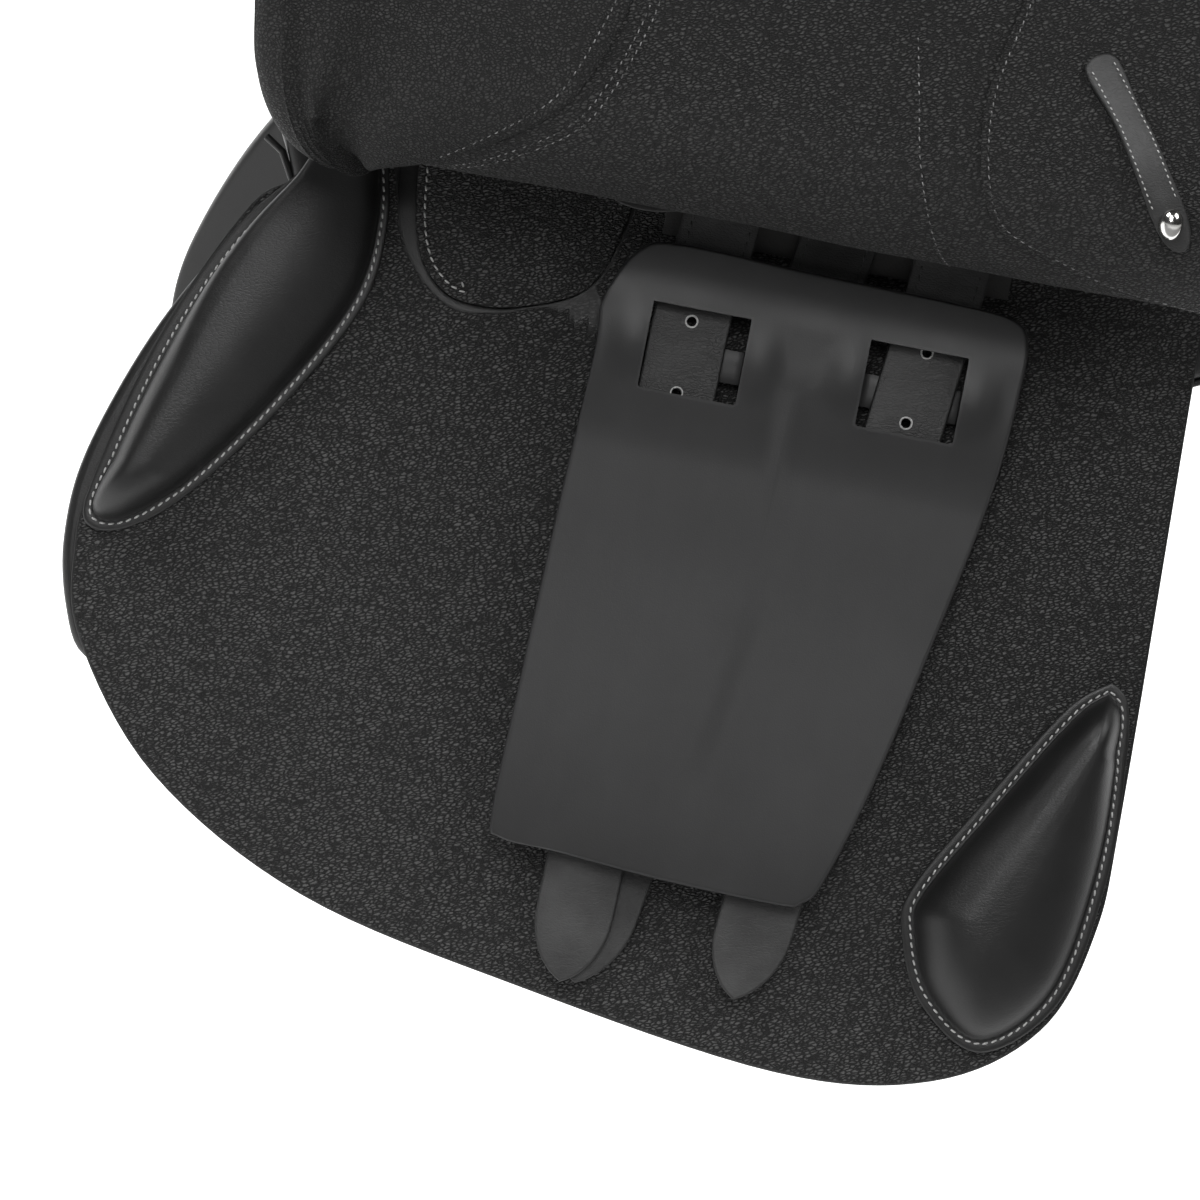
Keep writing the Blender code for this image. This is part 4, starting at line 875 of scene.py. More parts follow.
KNEE_OUTLINE = ((-0.103, 0.012), (-0.1080, 0.040), (-0.1265, 0.064), (-0.1400, 0.090), (-0.1515, 0.122),
                (-0.1600, 0.158), (-0.1605, 0.1745), (-0.148, 0.1750), (-0.129, 0.160), (-0.104, 0.126),
                (-0.0835, 0.088), (-0.0800, 0.060), (-0.0845, 0.034), (-0.088, 0.012))
KNEE_SPINE = ((-0.100, 0.030), (-0.118, 0.074), (-0.1465, 0.152))
KNEE_PROFILE = ((0.0, 0.0), (0.06, 0.28), (0.15, 0.48), (0.30, 0.69), (0.50, 0.865), (0.75, 0.975),
                (1.0, 1.0))
THIGH_OUTLINE = ((0.1855, 0.162, 1), (0.1920, 0.168), (0.1952, 0.187), (0.1965, 0.225), (0.189, 0.269),
                 (0.166, 0.2915), (0.143, 0.279), (0.1325, 0.257), (0.133, 0.242), (0.150, 0.211),
                 (0.172, 0.174))
THIGH_SPINE = ((0.1830, 0.186), (0.171, 0.216), (0.157, 0.248))
THIGH_PROFILE = ((0.0, 0.0), (0.06, 0.24), (0.15, 0.44), (0.30, 0.66), (0.50, 0.85), (0.75, 0.97),
                 (1.0, 1.0))
for side in SIDES:
    knee = padded_block("knee_block_calf_" + side, side, KNEE_OUTLINE, KNEE_SPINE, KNEE_HEIGHT,
                        KNEE_PROFILE, KNEE_BORDER_WIDTH, overhang=KNEE_OVERHANG)
    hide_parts("knee_block_" + side)
    thigh = padded_block("thigh_block_calf_" + side, side, THIGH_OUTLINE, THIGH_SPINE, THIGH_HEIGHT,
                         THIGH_PROFILE, THIGH_BORDER_WIDTH)
    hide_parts("thigh_block_" + side)


# Point pockets
# A grained pocket in the opening of the sweat flap takes the point of the tree. It is lightly
# padded, and its front is sewn with pale thread; a crescent of the opening stays dark beside it.

POCKET_OUTLINE = ((-0.0004, 0.007, 1), (-0.0004, 0.030), (-0.0084, 0.0635), (-0.030, 0.0764),
                  (-0.051, 0.0788), (-0.0630, 0.0725), (-0.0700, 0.0600), (-0.0735, 0.040),
                  (-0.0755, 0.007, 1))
POCKET_SPINE = ((-0.036, 0.020), (-0.038, 0.050))
POCKET_THICKNESS = 4.0 * MM
POCKET_CROWN = 3.4 * MM
for side in SIDES:
    edge = outline(POCKET_OUTLINE, 0.0015)
    piece = cut_leather(side, edge, POCKET_SPINE, 0.0, POCKET_THICKNESS, rounding=0.8 * MM,
                        relief=lambda x, s, d: POCKET_CROWN * smoothstep(0.003, 0.024, d)
                        * smoothstep(0.004, 0.055, s))
    # the pocket takes the lighter copy of the grained hide, whose extra lightness is painted light
    finish_piece("point_pocket_hide_" + side, grain_lit_copy, "saddle", 50)
    plain_edge(piece)
    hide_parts("point_pocket_" + side)
    row = [p for p in inset(edge, 0.0030) if p[1] > 0.012 and p[0] < -0.050]
    row.sort(key=lambda p: math.atan2(p[1] - 0.030, p[0] + 0.040))
    flat_row("point_pocket_stitches_" + side, side, even(row, 0.001), 4.0 * MM + 0.05 * MM, thread_light,
             slot="smooth_calf")

# A thin tongue of the lining shows under the roll, above the first strap
TONGUE = ((-0.011, 0.028, 1), (-0.008, 0.0365), (0.004, 0.0385), (0.018, 0.0355), (0.028, 0.032),
          (0.030, 0.026, 1))
for side in SIDES:
    piece = cut_leather(side, outline(TONGUE, 0.0015), ((-0.002, 0.031), (0.020, 0.029)), 0.0185, 0.0014,
                        rounding=0.4 * MM, borders=(0.8, 1.4), shares=(0.4, 0.9))
    finish_piece("lining_tongue_" + side, lining, "saddle", 50)
    plain_edge(piece)


# Girth webbing
# Black woven webbing hung from the tree. The straps are sewn to it, and it is folded double
# under the front and rear ones.

ON_SWEAT = SWEAT_THICKNESS + GAP
WEBBING_THICKNESS = 1.4 * MM
BILLET_WIDTH = 0.026
BILLET_TOP = 0.0045
BILLET_LINES = {"front": (0.0295, 0.0241, 0.2946), "middle": (0.0730, 0.0290, 0.2943),
                "rear": (0.1100, 0.0818, 0.2895)}


def strap_x(name, s):
    """Middle line of a girth strap."""
    top_x, tip_x, tip_s = BILLET_LINES[name]
    x = mix(top_x, tip_x, (s - BILLET_TOP) / (tip_s - BILLET_TOP))
    if name == "front":
        x -= 3.0 * MM * smoothstep(0.035, 0.070, s) * (1 - smoothstep(0.10, 0.20, s))
    return x


def woven(name, side, x0, x1, s0, s1, n0, n1):
    """Piece of webbing square to the side plane, waved a little."""
    rings = []
    for s in spread(s0, s1, 20):
        top = [place(side, x, s, n1 - 0.12 * MM * (1 + math.sin(900 * x + 240 * s)))
               for x in spread(x0, x1, 30)]
        rings.append(top + [place(side, x, s, n0) for x in spread(x1, x0, 30)])
    piece = skin(rings)
    finish_piece(name, webbing, "saddle", 50)
    layer = piece.data.attributes.new("weave", "FLOAT_VECTOR", "POINT")
    for vertex, item in zip(piece.data.vertices, layer.data):
        item.vector = (vertex.co.x, -vertex.co.z / math.cos(FLARE), 0)
    return piece


for side in SIDES:
    base = woven("webbing_band_" + side, side, 0.010, 0.127, GAP, 0.044, ON_SWEAT,
                 ON_SWEAT + WEBBING_THICKNESS)
    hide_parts("billet_webbing_" + side)
    for name in ("front", "rear"):
        x = strap_x(name, 0.015)
        woven("webbing_fold_%s_%s" % (name, side), side, x - 0.013, x + 0.013, GAP, 0.030,
              ON_SWEAT + WEBBING_THICKNESS, 8.1 * MM)


# Girth straps
# Three bridle leather straps with pointed tips and punched holes. The middle one is thinner
# and runs behind the other two. Their tops are creased where they are sewn to the webbing.

STRAP_LEVELS = {"front": (8.4 * MM, 3.2 * MM), "middle": (5.5 * MM, 2.6 * MM),
                "rear": (8.4 * MM, 3.2 * MM)}
HOLE_RADIUS = 2.1 * MM
HOLE_PITCH = 0.0243
FIRST_HOLE = {"front": 0.0712, "middle": 0.082, "rear": 0.0665}


def strap_outline(name):
    """Outline of a strap with its pointed tip."""
    tip_s = BILLET_LINES[name][2]
    half = BILLET_WIDTH / 2
    arch = ((0.026, 1.0), (0.018, 0.96), (0.011, 0.79), (0.0055, 0.53), (0.002, 0.25))

    def across(s, offset):
        return (strap_x(name, s) + offset, s)

    straight = spread(BILLET_TOP + 0.002, tip_s - 0.034, 12)
    front = [across(s, -half) for s in straight] + [across(tip_s - up, -half * wide) for up, wide in arch]
    rear = [across(tip_s - up, half * wide) for up, wide in reversed(arch)]
    rear += [across(s, half) for s in reversed(straight)]
    return [(*across(BILLET_TOP, -half + 0.001), 1), *front, (*across(tip_s, 0), 1), *rear,
            (*across(BILLET_TOP, half - 0.001), 1)]


for side in SIDES:
    for name in BILLET_LINES:
        n, thickness = STRAP_LEVELS[name]
        edge = outline(strap_outline(name), 0.0022)
        spine = [(strap_x(name, s), s) for s in (0.014, 0.15, BILLET_LINES[name][2] - 0.012)]
        random.seed(name + side)
        phase = random.uniform(0, 6)

        def creased(x, s, d, name=name, phase=phase):
            across = x - strap_x(name, s)
            near_top = 1 - smoothstep(0.030, 0.060, s)
            wave = math.sin(520 * s + 260 * across + phase) * math.sin(310 * across + 2 * phase)
            crease = 0.4 * MM * near_top * wave
            return crease * smoothstep(0.001, 0.004, d) - 0.15 * MM * smoothstep(0.0030, 0.0018, d)

        piece = cut_leather(side, edge, spine, n, thickness, relief=creased, rounding=0.6 * MM,
                            borders=(1.0, 1.6, 2.4, 3.4, 5.0, 7.0, 9.0), shares=(0.5, 0.9))
        for k in range(9):
            s = FIRST_HOLE[name] + k * HOLE_PITCH
            if s < BILLET_LINES[name][2] - 0.030:
                x = strap_x(name, s)
                ring = [(x + HOLE_RADIUS * math.cos(a), s + HOLE_RADIUS * math.sin(a))
                        for a in spread(0, 2 * math.pi, 20)[:-1]]
                cut_through(piece, ring, side, n - 0.001, n + thickness + 0.002)
        finish_piece("girth_strap_%s_%s" % (name, side), bridle, "billets_" + side, 45)
        mark_edge(piece, [place(side, x, s, n + level) for x, s in edge for level in (0, thickness)])
        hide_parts("billet_%s_%s" % (name, side))
        for offset in (-0.0098, 0.0098):
            row = [(strap_x(name, s) + offset, s) for s in spread(0.008, 0.048, 24)]
            flat_row("girth_strap_stitches_%s_%s_%s" % (name, "ab"[offset > 0], side), side, row,
                     n + thickness - 0.1 * MM, thread_dark, "billets_" + side, pitch=3.3 * MM,
                     length=2.5 * MM,
                     radius=0.30 * MM)
        for k in range(9):
            s = FIRST_HOLE[name] + k * HOLE_PITCH
            if s < BILLET_LINES[name][2] - 0.030:
                ring = [place(side, strap_x(name, s) + (HOLE_RADIUS - 0.1 * MM) * math.cos(a),
                              s + (HOLE_RADIUS - 0.1 * MM) * math.sin(a), n + thickness - 0.28 * MM)
                        for a in spread(0, 2 * math.pi, 16)[:-1]]
                tube("strap_hole_%s_%d_%s" % (name, k, side), ring, 0.42 * MM, thread_light,
                     "billets_" + side,
                     6, True)


# Girth guards
# A plate of stiff butt leather, threaded on the front and rear straps through two windows. A bridge
# of the same leather passes behind each strap, and the plate is sprung outward beside it.

GUARD_THICKNESS = 3.4 * MM
GUARD_N = 11.9 * MM
GUARD_OUTLINE = ((0.0037, 0.0510), (-0.0050, 0.0690), (-0.0045, 0.0862), (-0.0065, 0.1375),
                 (-0.0081, 0.1990), (-0.0088, 0.2440), (-0.0046, 0.2512), (0.0159, 0.2523),
                 (0.0504, 0.2548), (0.0910, 0.2555), (0.0977, 0.2535), (0.1030, 0.2465),
                 (0.1132, 0.2125), (0.1237, 0.1631), (0.1336, 0.1105), (0.1365, 0.0723),
                 (0.1360, 0.0575), (0.1308, 0.0508), (0.1120, 0.0489), (0.0574, 0.0477),
                 (0.0180, 0.0468))
GUARD_SPINE = ((0.060, 0.090), (0.064, 0.160), (0.056, 0.215))
WINDOW_WIDTH, WINDOW_HEIGHT = 0.033, 0.029
WINDOWS = {"front": (0.0281, 0.0670), "rear": (0.1012, 0.0660)}  # middle and upper edge
BRIDGE_START, BRIDGE_HEIGHT = 0.0110, 0.0110
BRIDGE_N = 4.7 * MM


def guard_spring(x, s):
    """How far the plate is sprung outward at a place."""
    lift = 3.0 * smoothstep(0.044, 0.068, s) - 2.8 * smoothstep(0.080, 0.118, s)
    lift += 3.2 * smoothstep(0.140, 0.252, s)
    for middle, top in WINDOWS.values():
        for way in (-1, 1):
            beside = math.hypot((x - middle - way * 0.021) / 0.011, (s - top - 0.013) / 0.016)
            lift += 1.3 * (1 - smoothstep(0.0, 1.0, beside))
    return lift * MM


def guard_place(side, x, s, n):
    """Place on the sprung plate."""
    return place(side, x, s, n + guard_spring(x, s))


for side in SIDES:
    edge = outline(GUARD_OUTLINE)
    piece = cut_leather(side, edge, GUARD_SPINE, GUARD_N, GUARD_THICKNESS, rounding=0.9 * MM,
                        at=guard_place,
                        borders=(1.4, 2.6, 4.4, 7.0), shares=spread(0.07, 0.98, 18))
    holes = []
    for middle, top in WINDOWS.values():
        half = WINDOW_WIDTH / 2
        corners = [(middle - half, top), (middle - half, top + WINDOW_HEIGHT),
                   (middle + half, top + WINDOW_HEIGHT), (middle + half, top)]
        ring = even(corners, 0.0015, True)
        holes += ring
        cut_through(piece, ring, side, GUARD_N - 0.006, GUARD_N + 0.012)
    finish_piece("girth_guard_plate_" + side, butt, "guard_" + side, 42)
    mark_edge(piece, [guard_place(side, x, s, GUARD_N + level) for x, s in edge + holes
                      for level in (0, GUARD_THICKNESS)])
    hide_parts("girth_guard_" + side)
    for name, (middle, top) in WINDOWS.items():
        rings = []
        low = top + BRIDGE_START
        for s in (low, low + 0.0008, low + 0.002, *spread(low + 0.004, low + BRIDGE_HEIGHT - 0.004, 3),
                  low + BRIDGE_HEIGHT - 0.002, low + BRIDGE_HEIGHT - 0.0008, low + BRIDGE_HEIGHT):
            near = min(s - low, low + BRIDGE_HEIGHT - s)
            round_off = 0.5 * MM * (1 - smoothstep(0.0, 0.0018, near))
            face, back = [], []
            for across in spread(-1, 1, 26):
                x = middle + across * (WINDOW_WIDTH / 2 + 0.0012)
                dip = smoothstep(1.0, 0.91, abs(across))
                shelf = GUARD_N + guard_spring(x, s) + GUARD_THICKNESS - 0.4 * MM
                level = mix(shelf, BRIDGE_N + GUARD_THICKNESS, dip)
                face.append(place(side, x, s, level - round_off))
                back.append(place(side, x, s, level - GUARD_THICKNESS + round_off))
            rings.append(face + back[::-1])
        skin(rings)
        bridge = finish_piece("girth_guard_bridge_%s_%s" % (name, side), butt, "guard_" + side,
                              50)
        plain_edge(bridge)


# Outer flaps
# One long grained hide on each side. It hangs from the tree's flank, and the left one is lifted and
# rolled over, so its underside faces out. Lengths L are measured down the leather from the bend.

FLAP_N = 0.028
FLAP_THICKNESS = 3.0 * MM
FLAP_TOP, FLAP_LENGTH = 0.022, 0.318
BEND_RADIUS = 0.038
FLAP_TURN = math.radians(195)
BEND_LENGTH = BEND_RADIUS * FLAP_TURN
BEND_STEP = BEND_LENGTH / 3
FLAP_FRONT_LINE = ((-FLAP_TOP, -0.098), (0.0, -0.099), (0.040, -0.102), (0.058, -0.110),
                   (0.079, -0.1205), (0.099, -0.128), (0.126, -0.1335), (0.150, -0.145), (0.175, -0.158),
                   (0.200, -0.167), (0.220, -0.166), (0.240, -0.155), (0.265, -0.127), (0.285, -0.089),
                   (0.300, -0.045), (0.311, 0.010), (FLAP_LENGTH, 0.070))
FLAP_REAR_LINE = ((-FLAP_TOP, 0.196), (0.0, 0.197), (0.100, 0.200), (0.200, 0.206), (0.250, 0.203),
                  (0.275, 0.192), (0.295, 0.170), (0.311, 0.135), (FLAP_LENGTH, 0.100))


def on_flap(side, x, length, offset):
    """Place on the flap: offset is measured to the leather's outer side, which is inside the roll."""
    if side == "right" or length <= 0:
        return place(side, x, length, FLAP_N + offset)
    turn = min(length / BEND_RADIUS, FLAP_TURN)
    straight = max(length - BEND_LENGTH, 0.0)
    radius = BEND_RADIUS - offset
    s = radius * math.sin(turn) + straight * math.cos(turn)
    n = FLAP_N + BEND_RADIUS - radius * math.cos(turn) + straight * math.sin(turn)
    return place(side, x, s, n)


def bend(piece, side, step):
    """Bakes a piece of the flap's transform into its mesh. The bodies and the ends of its step of the
    roll are worked out but not used.
    """
    names = ("saddle", "flap_upper_" + side, "flap_middle_" + side, "flap_" + side)
    start = on_flap(side, 0.05, step * BEND_STEP, 0.0)
    end = on_flap(side, 0.05, (step + 1) * BEND_STEP, 0.0)
    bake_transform(piece)


def flap_pieces(name, side, ring_at, lengths, material):
    """Pieces skinned over rings down the flap, one for each step of the roll that they reach."""
    made = []
    for step in range(3):
        low = step * BEND_STEP if step else -1.0
        high = (step + 1) * BEND_STEP if step < 2 else 1.0
        run = [length for length in lengths if low < length < high]
        if not run:
            continue
        if lengths[0] < low:
            run.insert(0, low)
        if lengths[-1] > high:
            run.append(high)
        skin([ring_at(side, length) for length in run])
        piece = finish_piece("%s_%d_%s" % (name, step + 1, side), material, None, 60)
        bend(piece, side, step)
        made.append(piece)
    return made


def ripple(x, length):
    """Slow waves that a long piece of hide takes."""
    long_wave = 0.35 * MM * math.sin(38 * x + 1.0) * math.sin(30 * length)
    return long_wave + 0.18 * MM * math.sin(95 * x + 70 * length)


def hide_ring(side, length, columns):
    """Closed ring round the flap's leather at one length, thinned and rounded at both edges."""
    front, rear = through(FLAP_FRONT_LINE, length), through(FLAP_REAR_LINE, length)
    near_end = smoothstep(FLAP_LENGTH - 0.0002, FLAP_LENGTH - 0.0020, length)
    half = FLAP_THICKNESS / 2 * (0.35 + 0.65 * near_end)
    steps = [0.0, 0.0005, 0.0014, 0.0030, 0.0055]
    width = rear - front
    middle = [front + 0.0055 + (width - 0.011) * i / columns for i in range(1, columns)]
    across = [front + d for d in steps] + middle + [rear - d for d in reversed(steps)]
    slim = [0.45, 0.8, 1.0, 1.0, 1.0] + [1.0] * (columns - 1) + [1.0, 1.0, 1.0, 0.8, 0.45]
    wave = ripple if length > 0.02 else (lambda x, length: 0.0)
    top = [on_flap(side, x, length, half * k + wave(x, length)) for x, k in zip(across, slim)]
    return top + [on_flap(side, x, length, -half * k + wave(x, length))
                  for x, k in reversed(list(zip(across, slim)))]


def flap_edge(side):
    """Points along the flap's cut edge."""
    edge = []
    for length in spread(0.0, FLAP_LENGTH, 220):
        for line in (FLAP_FRONT_LINE, FLAP_REAR_LINE):
            edge += [on_flap(side, through(line, length), length, level * MM) for level in (-1.5, 1.5)]
    for x in spread(0.070, 0.100, 20):
        edge += [on_flap(side, x, FLAP_LENGTH, level * MM) for level in (-1.5, 1.5)]
    return edge


FLAP_LENGTHS = spread(-FLAP_TOP, BEND_LENGTH, 75) + spread(BEND_LENGTH + 0.003, 0.300, 60)
FLAP_LENGTHS += [0.303, 0.306, 0.309, 0.312, 0.3145, 0.3162, 0.3174, FLAP_LENGTH]
for side in SIDES:
    pieces = flap_pieces("flap_hide", side, lambda side, length: hide_ring(side, length, 84),
                         FLAP_LENGTHS, grain)
    for piece in pieces:
        mark_edge(piece, flap_edge(side))
    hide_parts("flap_fixing_" + side)
    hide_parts("flap_bend_1_" + side, "flap_bend_2_" + side)
    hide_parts("outer_flap_" + side)


# Flap linings
# Under each flap a padded lining is sewn inside the front edge, with a piped border, and a flat
# one behind. Both are of the same grained hide.

LEFT_LOBE = ((0.0300, -0.0840), (0.0450, -0.0835), (0.0600, -0.0801), (0.0704, -0.0668),
             (0.0871, -0.0480), (0.1023, -0.0300), (0.1147, -0.0221), (0.1331, -0.0154),
             (0.1514, -0.0121), (0.1750, -0.0110), (0.1950, -0.0190), (0.2150, -0.0360),
             (0.2360, -0.0700), (0.2450, -0.1000))
RIGHT_LOBE = ((0.0600, 0.1985), (0.0660, 0.1930), (0.0720, 0.1600), (0.0819, 0.1360), (0.0898, 0.1180),
              (0.1004, 0.1096), (0.1190, 0.1044), (0.1379, 0.1042), (0.1598, 0.1086), (0.1764, 0.1123),
              (0.2000, 0.1200), (0.2300, 0.1420), (0.2480, 0.1900))
VALLEY_LINE = ((0.030, -0.1000), (0.060, -0.1070), (0.0756, -0.1063), (0.0939, -0.1016),
               (0.1107, -0.0943), (0.1249, -0.0920), (0.1353, -0.0923), (0.170, -0.0960),
               (0.200, -0.1010), (0.245, -0.1100))
UNDER = -(FLAP_THICKNESS / 2 + GAP)


def roll_profile(a, valley, lobe):
    """Height of the front lining over the leather, at a distance from the flap's front edge."""
    depth = max(valley, 0.019)
    width = max(lobe - depth, 0.004)
    knots = ((0.0, 0.5), (0.003, 4.0), (0.009, 6.6), (0.0155, 5.6), (0.5 * (0.0155 + depth), 8.2),
             (depth, 1.6), (depth + 0.36 * width, 5.4), (depth + 0.72 * width, 4.0), (depth + width, 1.6))
    height = through(knots, a)
    for line in (0.0100, 0.0120, 0.0140):
        height += 0.55 * max(0.0, 1 - abs(a - line) / 0.0008)
    return height * MM


def lobe_ring(side, length):
    """Closed ring of the front lining at one length."""
    front = through(FLAP_FRONT_LINE, length)
    lobe = max(through(LEFT_LOBE, length) - front, 0.021)
    valley = through(VALLEY_LINE, length) - front
    along = (length - LEFT_LOBE[0][0]) / (LEFT_LOBE[-1][0] - LEFT_LOBE[0][0])
    fade = smoothstep(0.0, 0.10, along) * smoothstep(1.0, 0.86, along)
    steps = [0.0007, 0.0018, 0.0032, 0.005, 0.007, 0.009, 0.0095, 0.0100, 0.0105, 0.0115, 0.0120, 0.0125,
             0.0135, 0.0140, 0.0145, 0.0155, 0.017]
    steps += [0.017 + (lobe - 0.0195) * i / 26 for i in range(1, 27)]
    steps += [lobe - 0.0015, lobe - 0.0006, lobe]
    face = []
    for a in steps:
        height = roll_profile(a, valley, lobe) * (0.25 + 0.75 * fade)
        if a > lobe - 0.002:
            height *= 0.45 + 0.55 * (lobe - a) / 0.002
        face.append(on_flap(side, front + a, length, UNDER - max(height, 0.5 * MM)))
    return face + [on_flap(side, front + a, length, UNDER) for a in reversed(steps)]


def lobe_line(line, start, end, offset, pitch=0.0012):
    """Points along a lobe's edge, moved by an offset across it."""
    knots = [(length, x) for length, x in line if start <= length <= end]
    path = even(curve_through(knots, 10), pitch)
    moved = []
    for i, (length, x) in enumerate(path):
        before, after = path[max(i - 3, 0)], path[min(i + 3, len(path) - 1)]
        run = (after[0] - before[0], after[1] - before[1])
        size = math.hypot(*run) or 1.0
        moved.append((length - run[1] / size * offset, x + run[0] / size * offset))
    return moved


def flap_row(name, side, line, lift, thread=thread_grey, **sizes):
    """Rows of stitches on the underside of the flap, one for each step of the roll."""
    for step in range(3):
        low, high = step * BEND_STEP, (step + 1) * BEND_STEP if step < 2 else 1.0
        run = [point for point in line if low <= point[0] < high]
        if len(run) < 4:
            continue
        path = [Vector(on_flap(side, x, length, UNDER - lift)) for length, x in run]
        ups = [(Vector(on_flap(side, x, length, UNDER - lift - 0.002)) - point).normalized()
               for (length, x), point in zip(run, path)]
        row = stitches("%s_%d_%s" % (name, step + 1, side), path, ups, thread, None, "grained_leather",
                       **sizes)
        bend(row, side, step)


def rear_lining_ring(side, length):
    """Closed ring of the rear lining at one length."""
    lobe, rear = through(RIGHT_LOBE, length), through(FLAP_REAR_LINE, length) - 0.002
    lobe = min(lobe, rear - 0.004)
    steps = [lobe + d for d in (0.0, 0.0004, 0.0010, 0.002)]
    steps += [lobe + 0.002 + (rear - lobe - 0.004) * i / 26 for i in range(1, 27)] + [rear - 0.001, rear]
    face = []
    for x in steps:
        cushion = 0.9 * MM * smoothstep(lobe + 0.002, lobe + 0.012, x) * smoothstep(0.07, 0.10, length)
        edge_round = 0.5 + 0.5 * smoothstep(0.0, 0.0010, x - lobe)
        face.append(on_flap(side, x, length, UNDER - 1.2 * MM * edge_round - cushion))
    return face + [on_flap(side, x, length, UNDER) for x in reversed(steps)]


for side in SIDES:
    fronts = flap_pieces("flap_lining_front", side, lobe_ring,
                         spread(LEFT_LOBE[0][0], LEFT_LOBE[-1][0], 130),
                         grain_soft)
    rears = flap_pieces("flap_lining_rear", side, rear_lining_ring,
                        spread(RIGHT_LOBE[0][0], RIGHT_LOBE[-1][0], 120), grain)
    for piece in fronts:
        plain_edge(piece)
    for piece in rears:
        plain_edge(piece)
    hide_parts("lining_front_" + side)
    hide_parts("lining_rear_" + side)

    fine = {"length": 1.5 * MM, "radius": 0.20 * MM}
    flap_row("flap_lining_row_a", side, lobe_line(LEFT_LOBE, 0.070, 0.200, -0.0045), 3.0 * MM, **fine)
    flap_row("flap_lining_row_b", side, lobe_line(LEFT_LOBE, 0.060, 0.236, 0.0060), 0.0, **fine)
    flap_row("flap_lining_row_c", side, lobe_line(LEFT_LOBE, 0.060, 0.236, 0.0085), 0.0, **fine)
    flap_row("flap_lining_row_d", side, lobe_line(RIGHT_LOBE, 0.066, 0.230, 0.0022), 1.3 * MM, **fine)
    dotted = ((0.1485, 0.0784), (0.1283, 0.0823), (0.1085, 0.0867), (0.0854, 0.0948), (0.070, 0.1005),
              (0.060, 0.1039))
    flap_row("flap_row", side, even(curve_through(dotted, 8), 0.0012), 0.0, **fine)


# Keeper straps
# A bridle leather tongue that comes out of a slit in the rear lining and buttons on a ball stud.
# It holds the girth straps' ends when the flap is down.

KEEPER_TOP, KEEPER_TIP = (0.1367, 0.150), (0.1725, 0.1010)
KEEPER_BACK = FLAP_THICKNESS / 2 + GAP + 2.1 * MM + GAP
KEEPER_THICKNESS = 2.2 * MM
for side in SIDES:
    run = Vector(KEEPER_TIP) - Vector(KEEPER_TOP)
    along = run.normalized()
    across = Vector((along.y, -along.x))
    shape = ((0.0, 5.2), (0.3, 5.0), (0.62, 5.0), (0.80, 5.3), (0.93, 5.0), (1.02, 3.4), (1.06, 0.0))
    edge = [tuple(Vector(KEEPER_TOP) + run * share + across * half * MM) for share, half in shape]
    edge += [tuple(Vector(KEEPER_TOP) + run * share - across * half * MM)
             for share, half in reversed(shape[:-1])]
    edge = even(curve_through(edge, 6, True), 0.0014, True)
    spine = [tuple(Vector(KEEPER_TOP) + run * share) for share in (0.12, 0.5, 0.9)]
    strap = cut_leather(side, edge, spine, KEEPER_BACK, KEEPER_THICKNESS, rounding=0.6 * MM,
                        at=lambda side, x, length, n: on_flap(side, x, length, -n),
                        borders=(0.9, 1.5, 2.4, 3.4), shares=(0.5, 0.9),
                        relief=lambda x, length, d: -0.2 * MM * smoothstep(0.0024, 0.0014, d))
    finish_piece("keeper_tongue_" + side, bridle, None, 50)
    bend(strap, side, 2)
    mark_edge(strap, [on_flap(side, x, length, -KEEPER_BACK - level) for x, length in edge
                      for level in (0, KEEPER_THICKNESS)])
    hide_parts("keeper_strap_" + side)
    for way in (-1, 1):
        line = [Vector(KEEPER_TOP) + run * share + across * way * 3.9 * MM
                for share in spread(0.03, 0.80, 30)]
        flap_row("keeper_row_" + "ab"[way > 0], side, [(length, x) for x, length in line], 5.0 * MM,
                 thread_light, pitch=2.1 * MM, length=1.1 * MM, radius=0.2 * MM)
    slit = []
    for way in (-1, 1):
        slit += [tuple(Vector(KEEPER_TOP) + across * way * t * MM - along * 0.4 * MM * way)
                 for t in (6.4, 3.0, 0.0)][::way]
    slit = [on_flap(side, x, length, UNDER - KEEPER_THICKNESS) for x, length in even(slit[:5], 0.0015)]
    tube("keeper_slit_" + side, slit, 0.7 * MM, grain_soft, "flap_" + side, 6)
    plain_edge(bpy.context.active_object)

    x, length = mix(KEEPER_TOP, KEEPER_TIP, 0.88)
    low = KEEPER_BACK + KEEPER_THICKNESS
    profile = [(0.2, -2.0), (3.1, -0.2), (3.1, 0.35), (2.1, 0.6), (1.7, 1.2)]
    profile += [(4.0 * math.sin(turn), 4.0 * (1 - math.cos(turn)) + 1.0)
                for turn in spread(math.radians(26), math.radians(179), 18)]
    rings = []
    for radius, rise in profile:
        rings.append([on_flap(side, x + radius * MM * math.cos(turn),
                              length + radius * MM * math.sin(turn),
                              -low - rise * MM) for turn in spread(0, 2 * math.pi, 32)[:-1]])
    stud = skin(rings)
    finish_piece("keeper_ball_" + side, nickel, "flap_" + side, 40)
    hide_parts("keeper_stud_" + side)


# Flap rolls
# A padded roll of smooth calf on the outer face of each flap, behind its front edge, so that it
# swells under the rider's knee. Its edge is turned in and sewn.

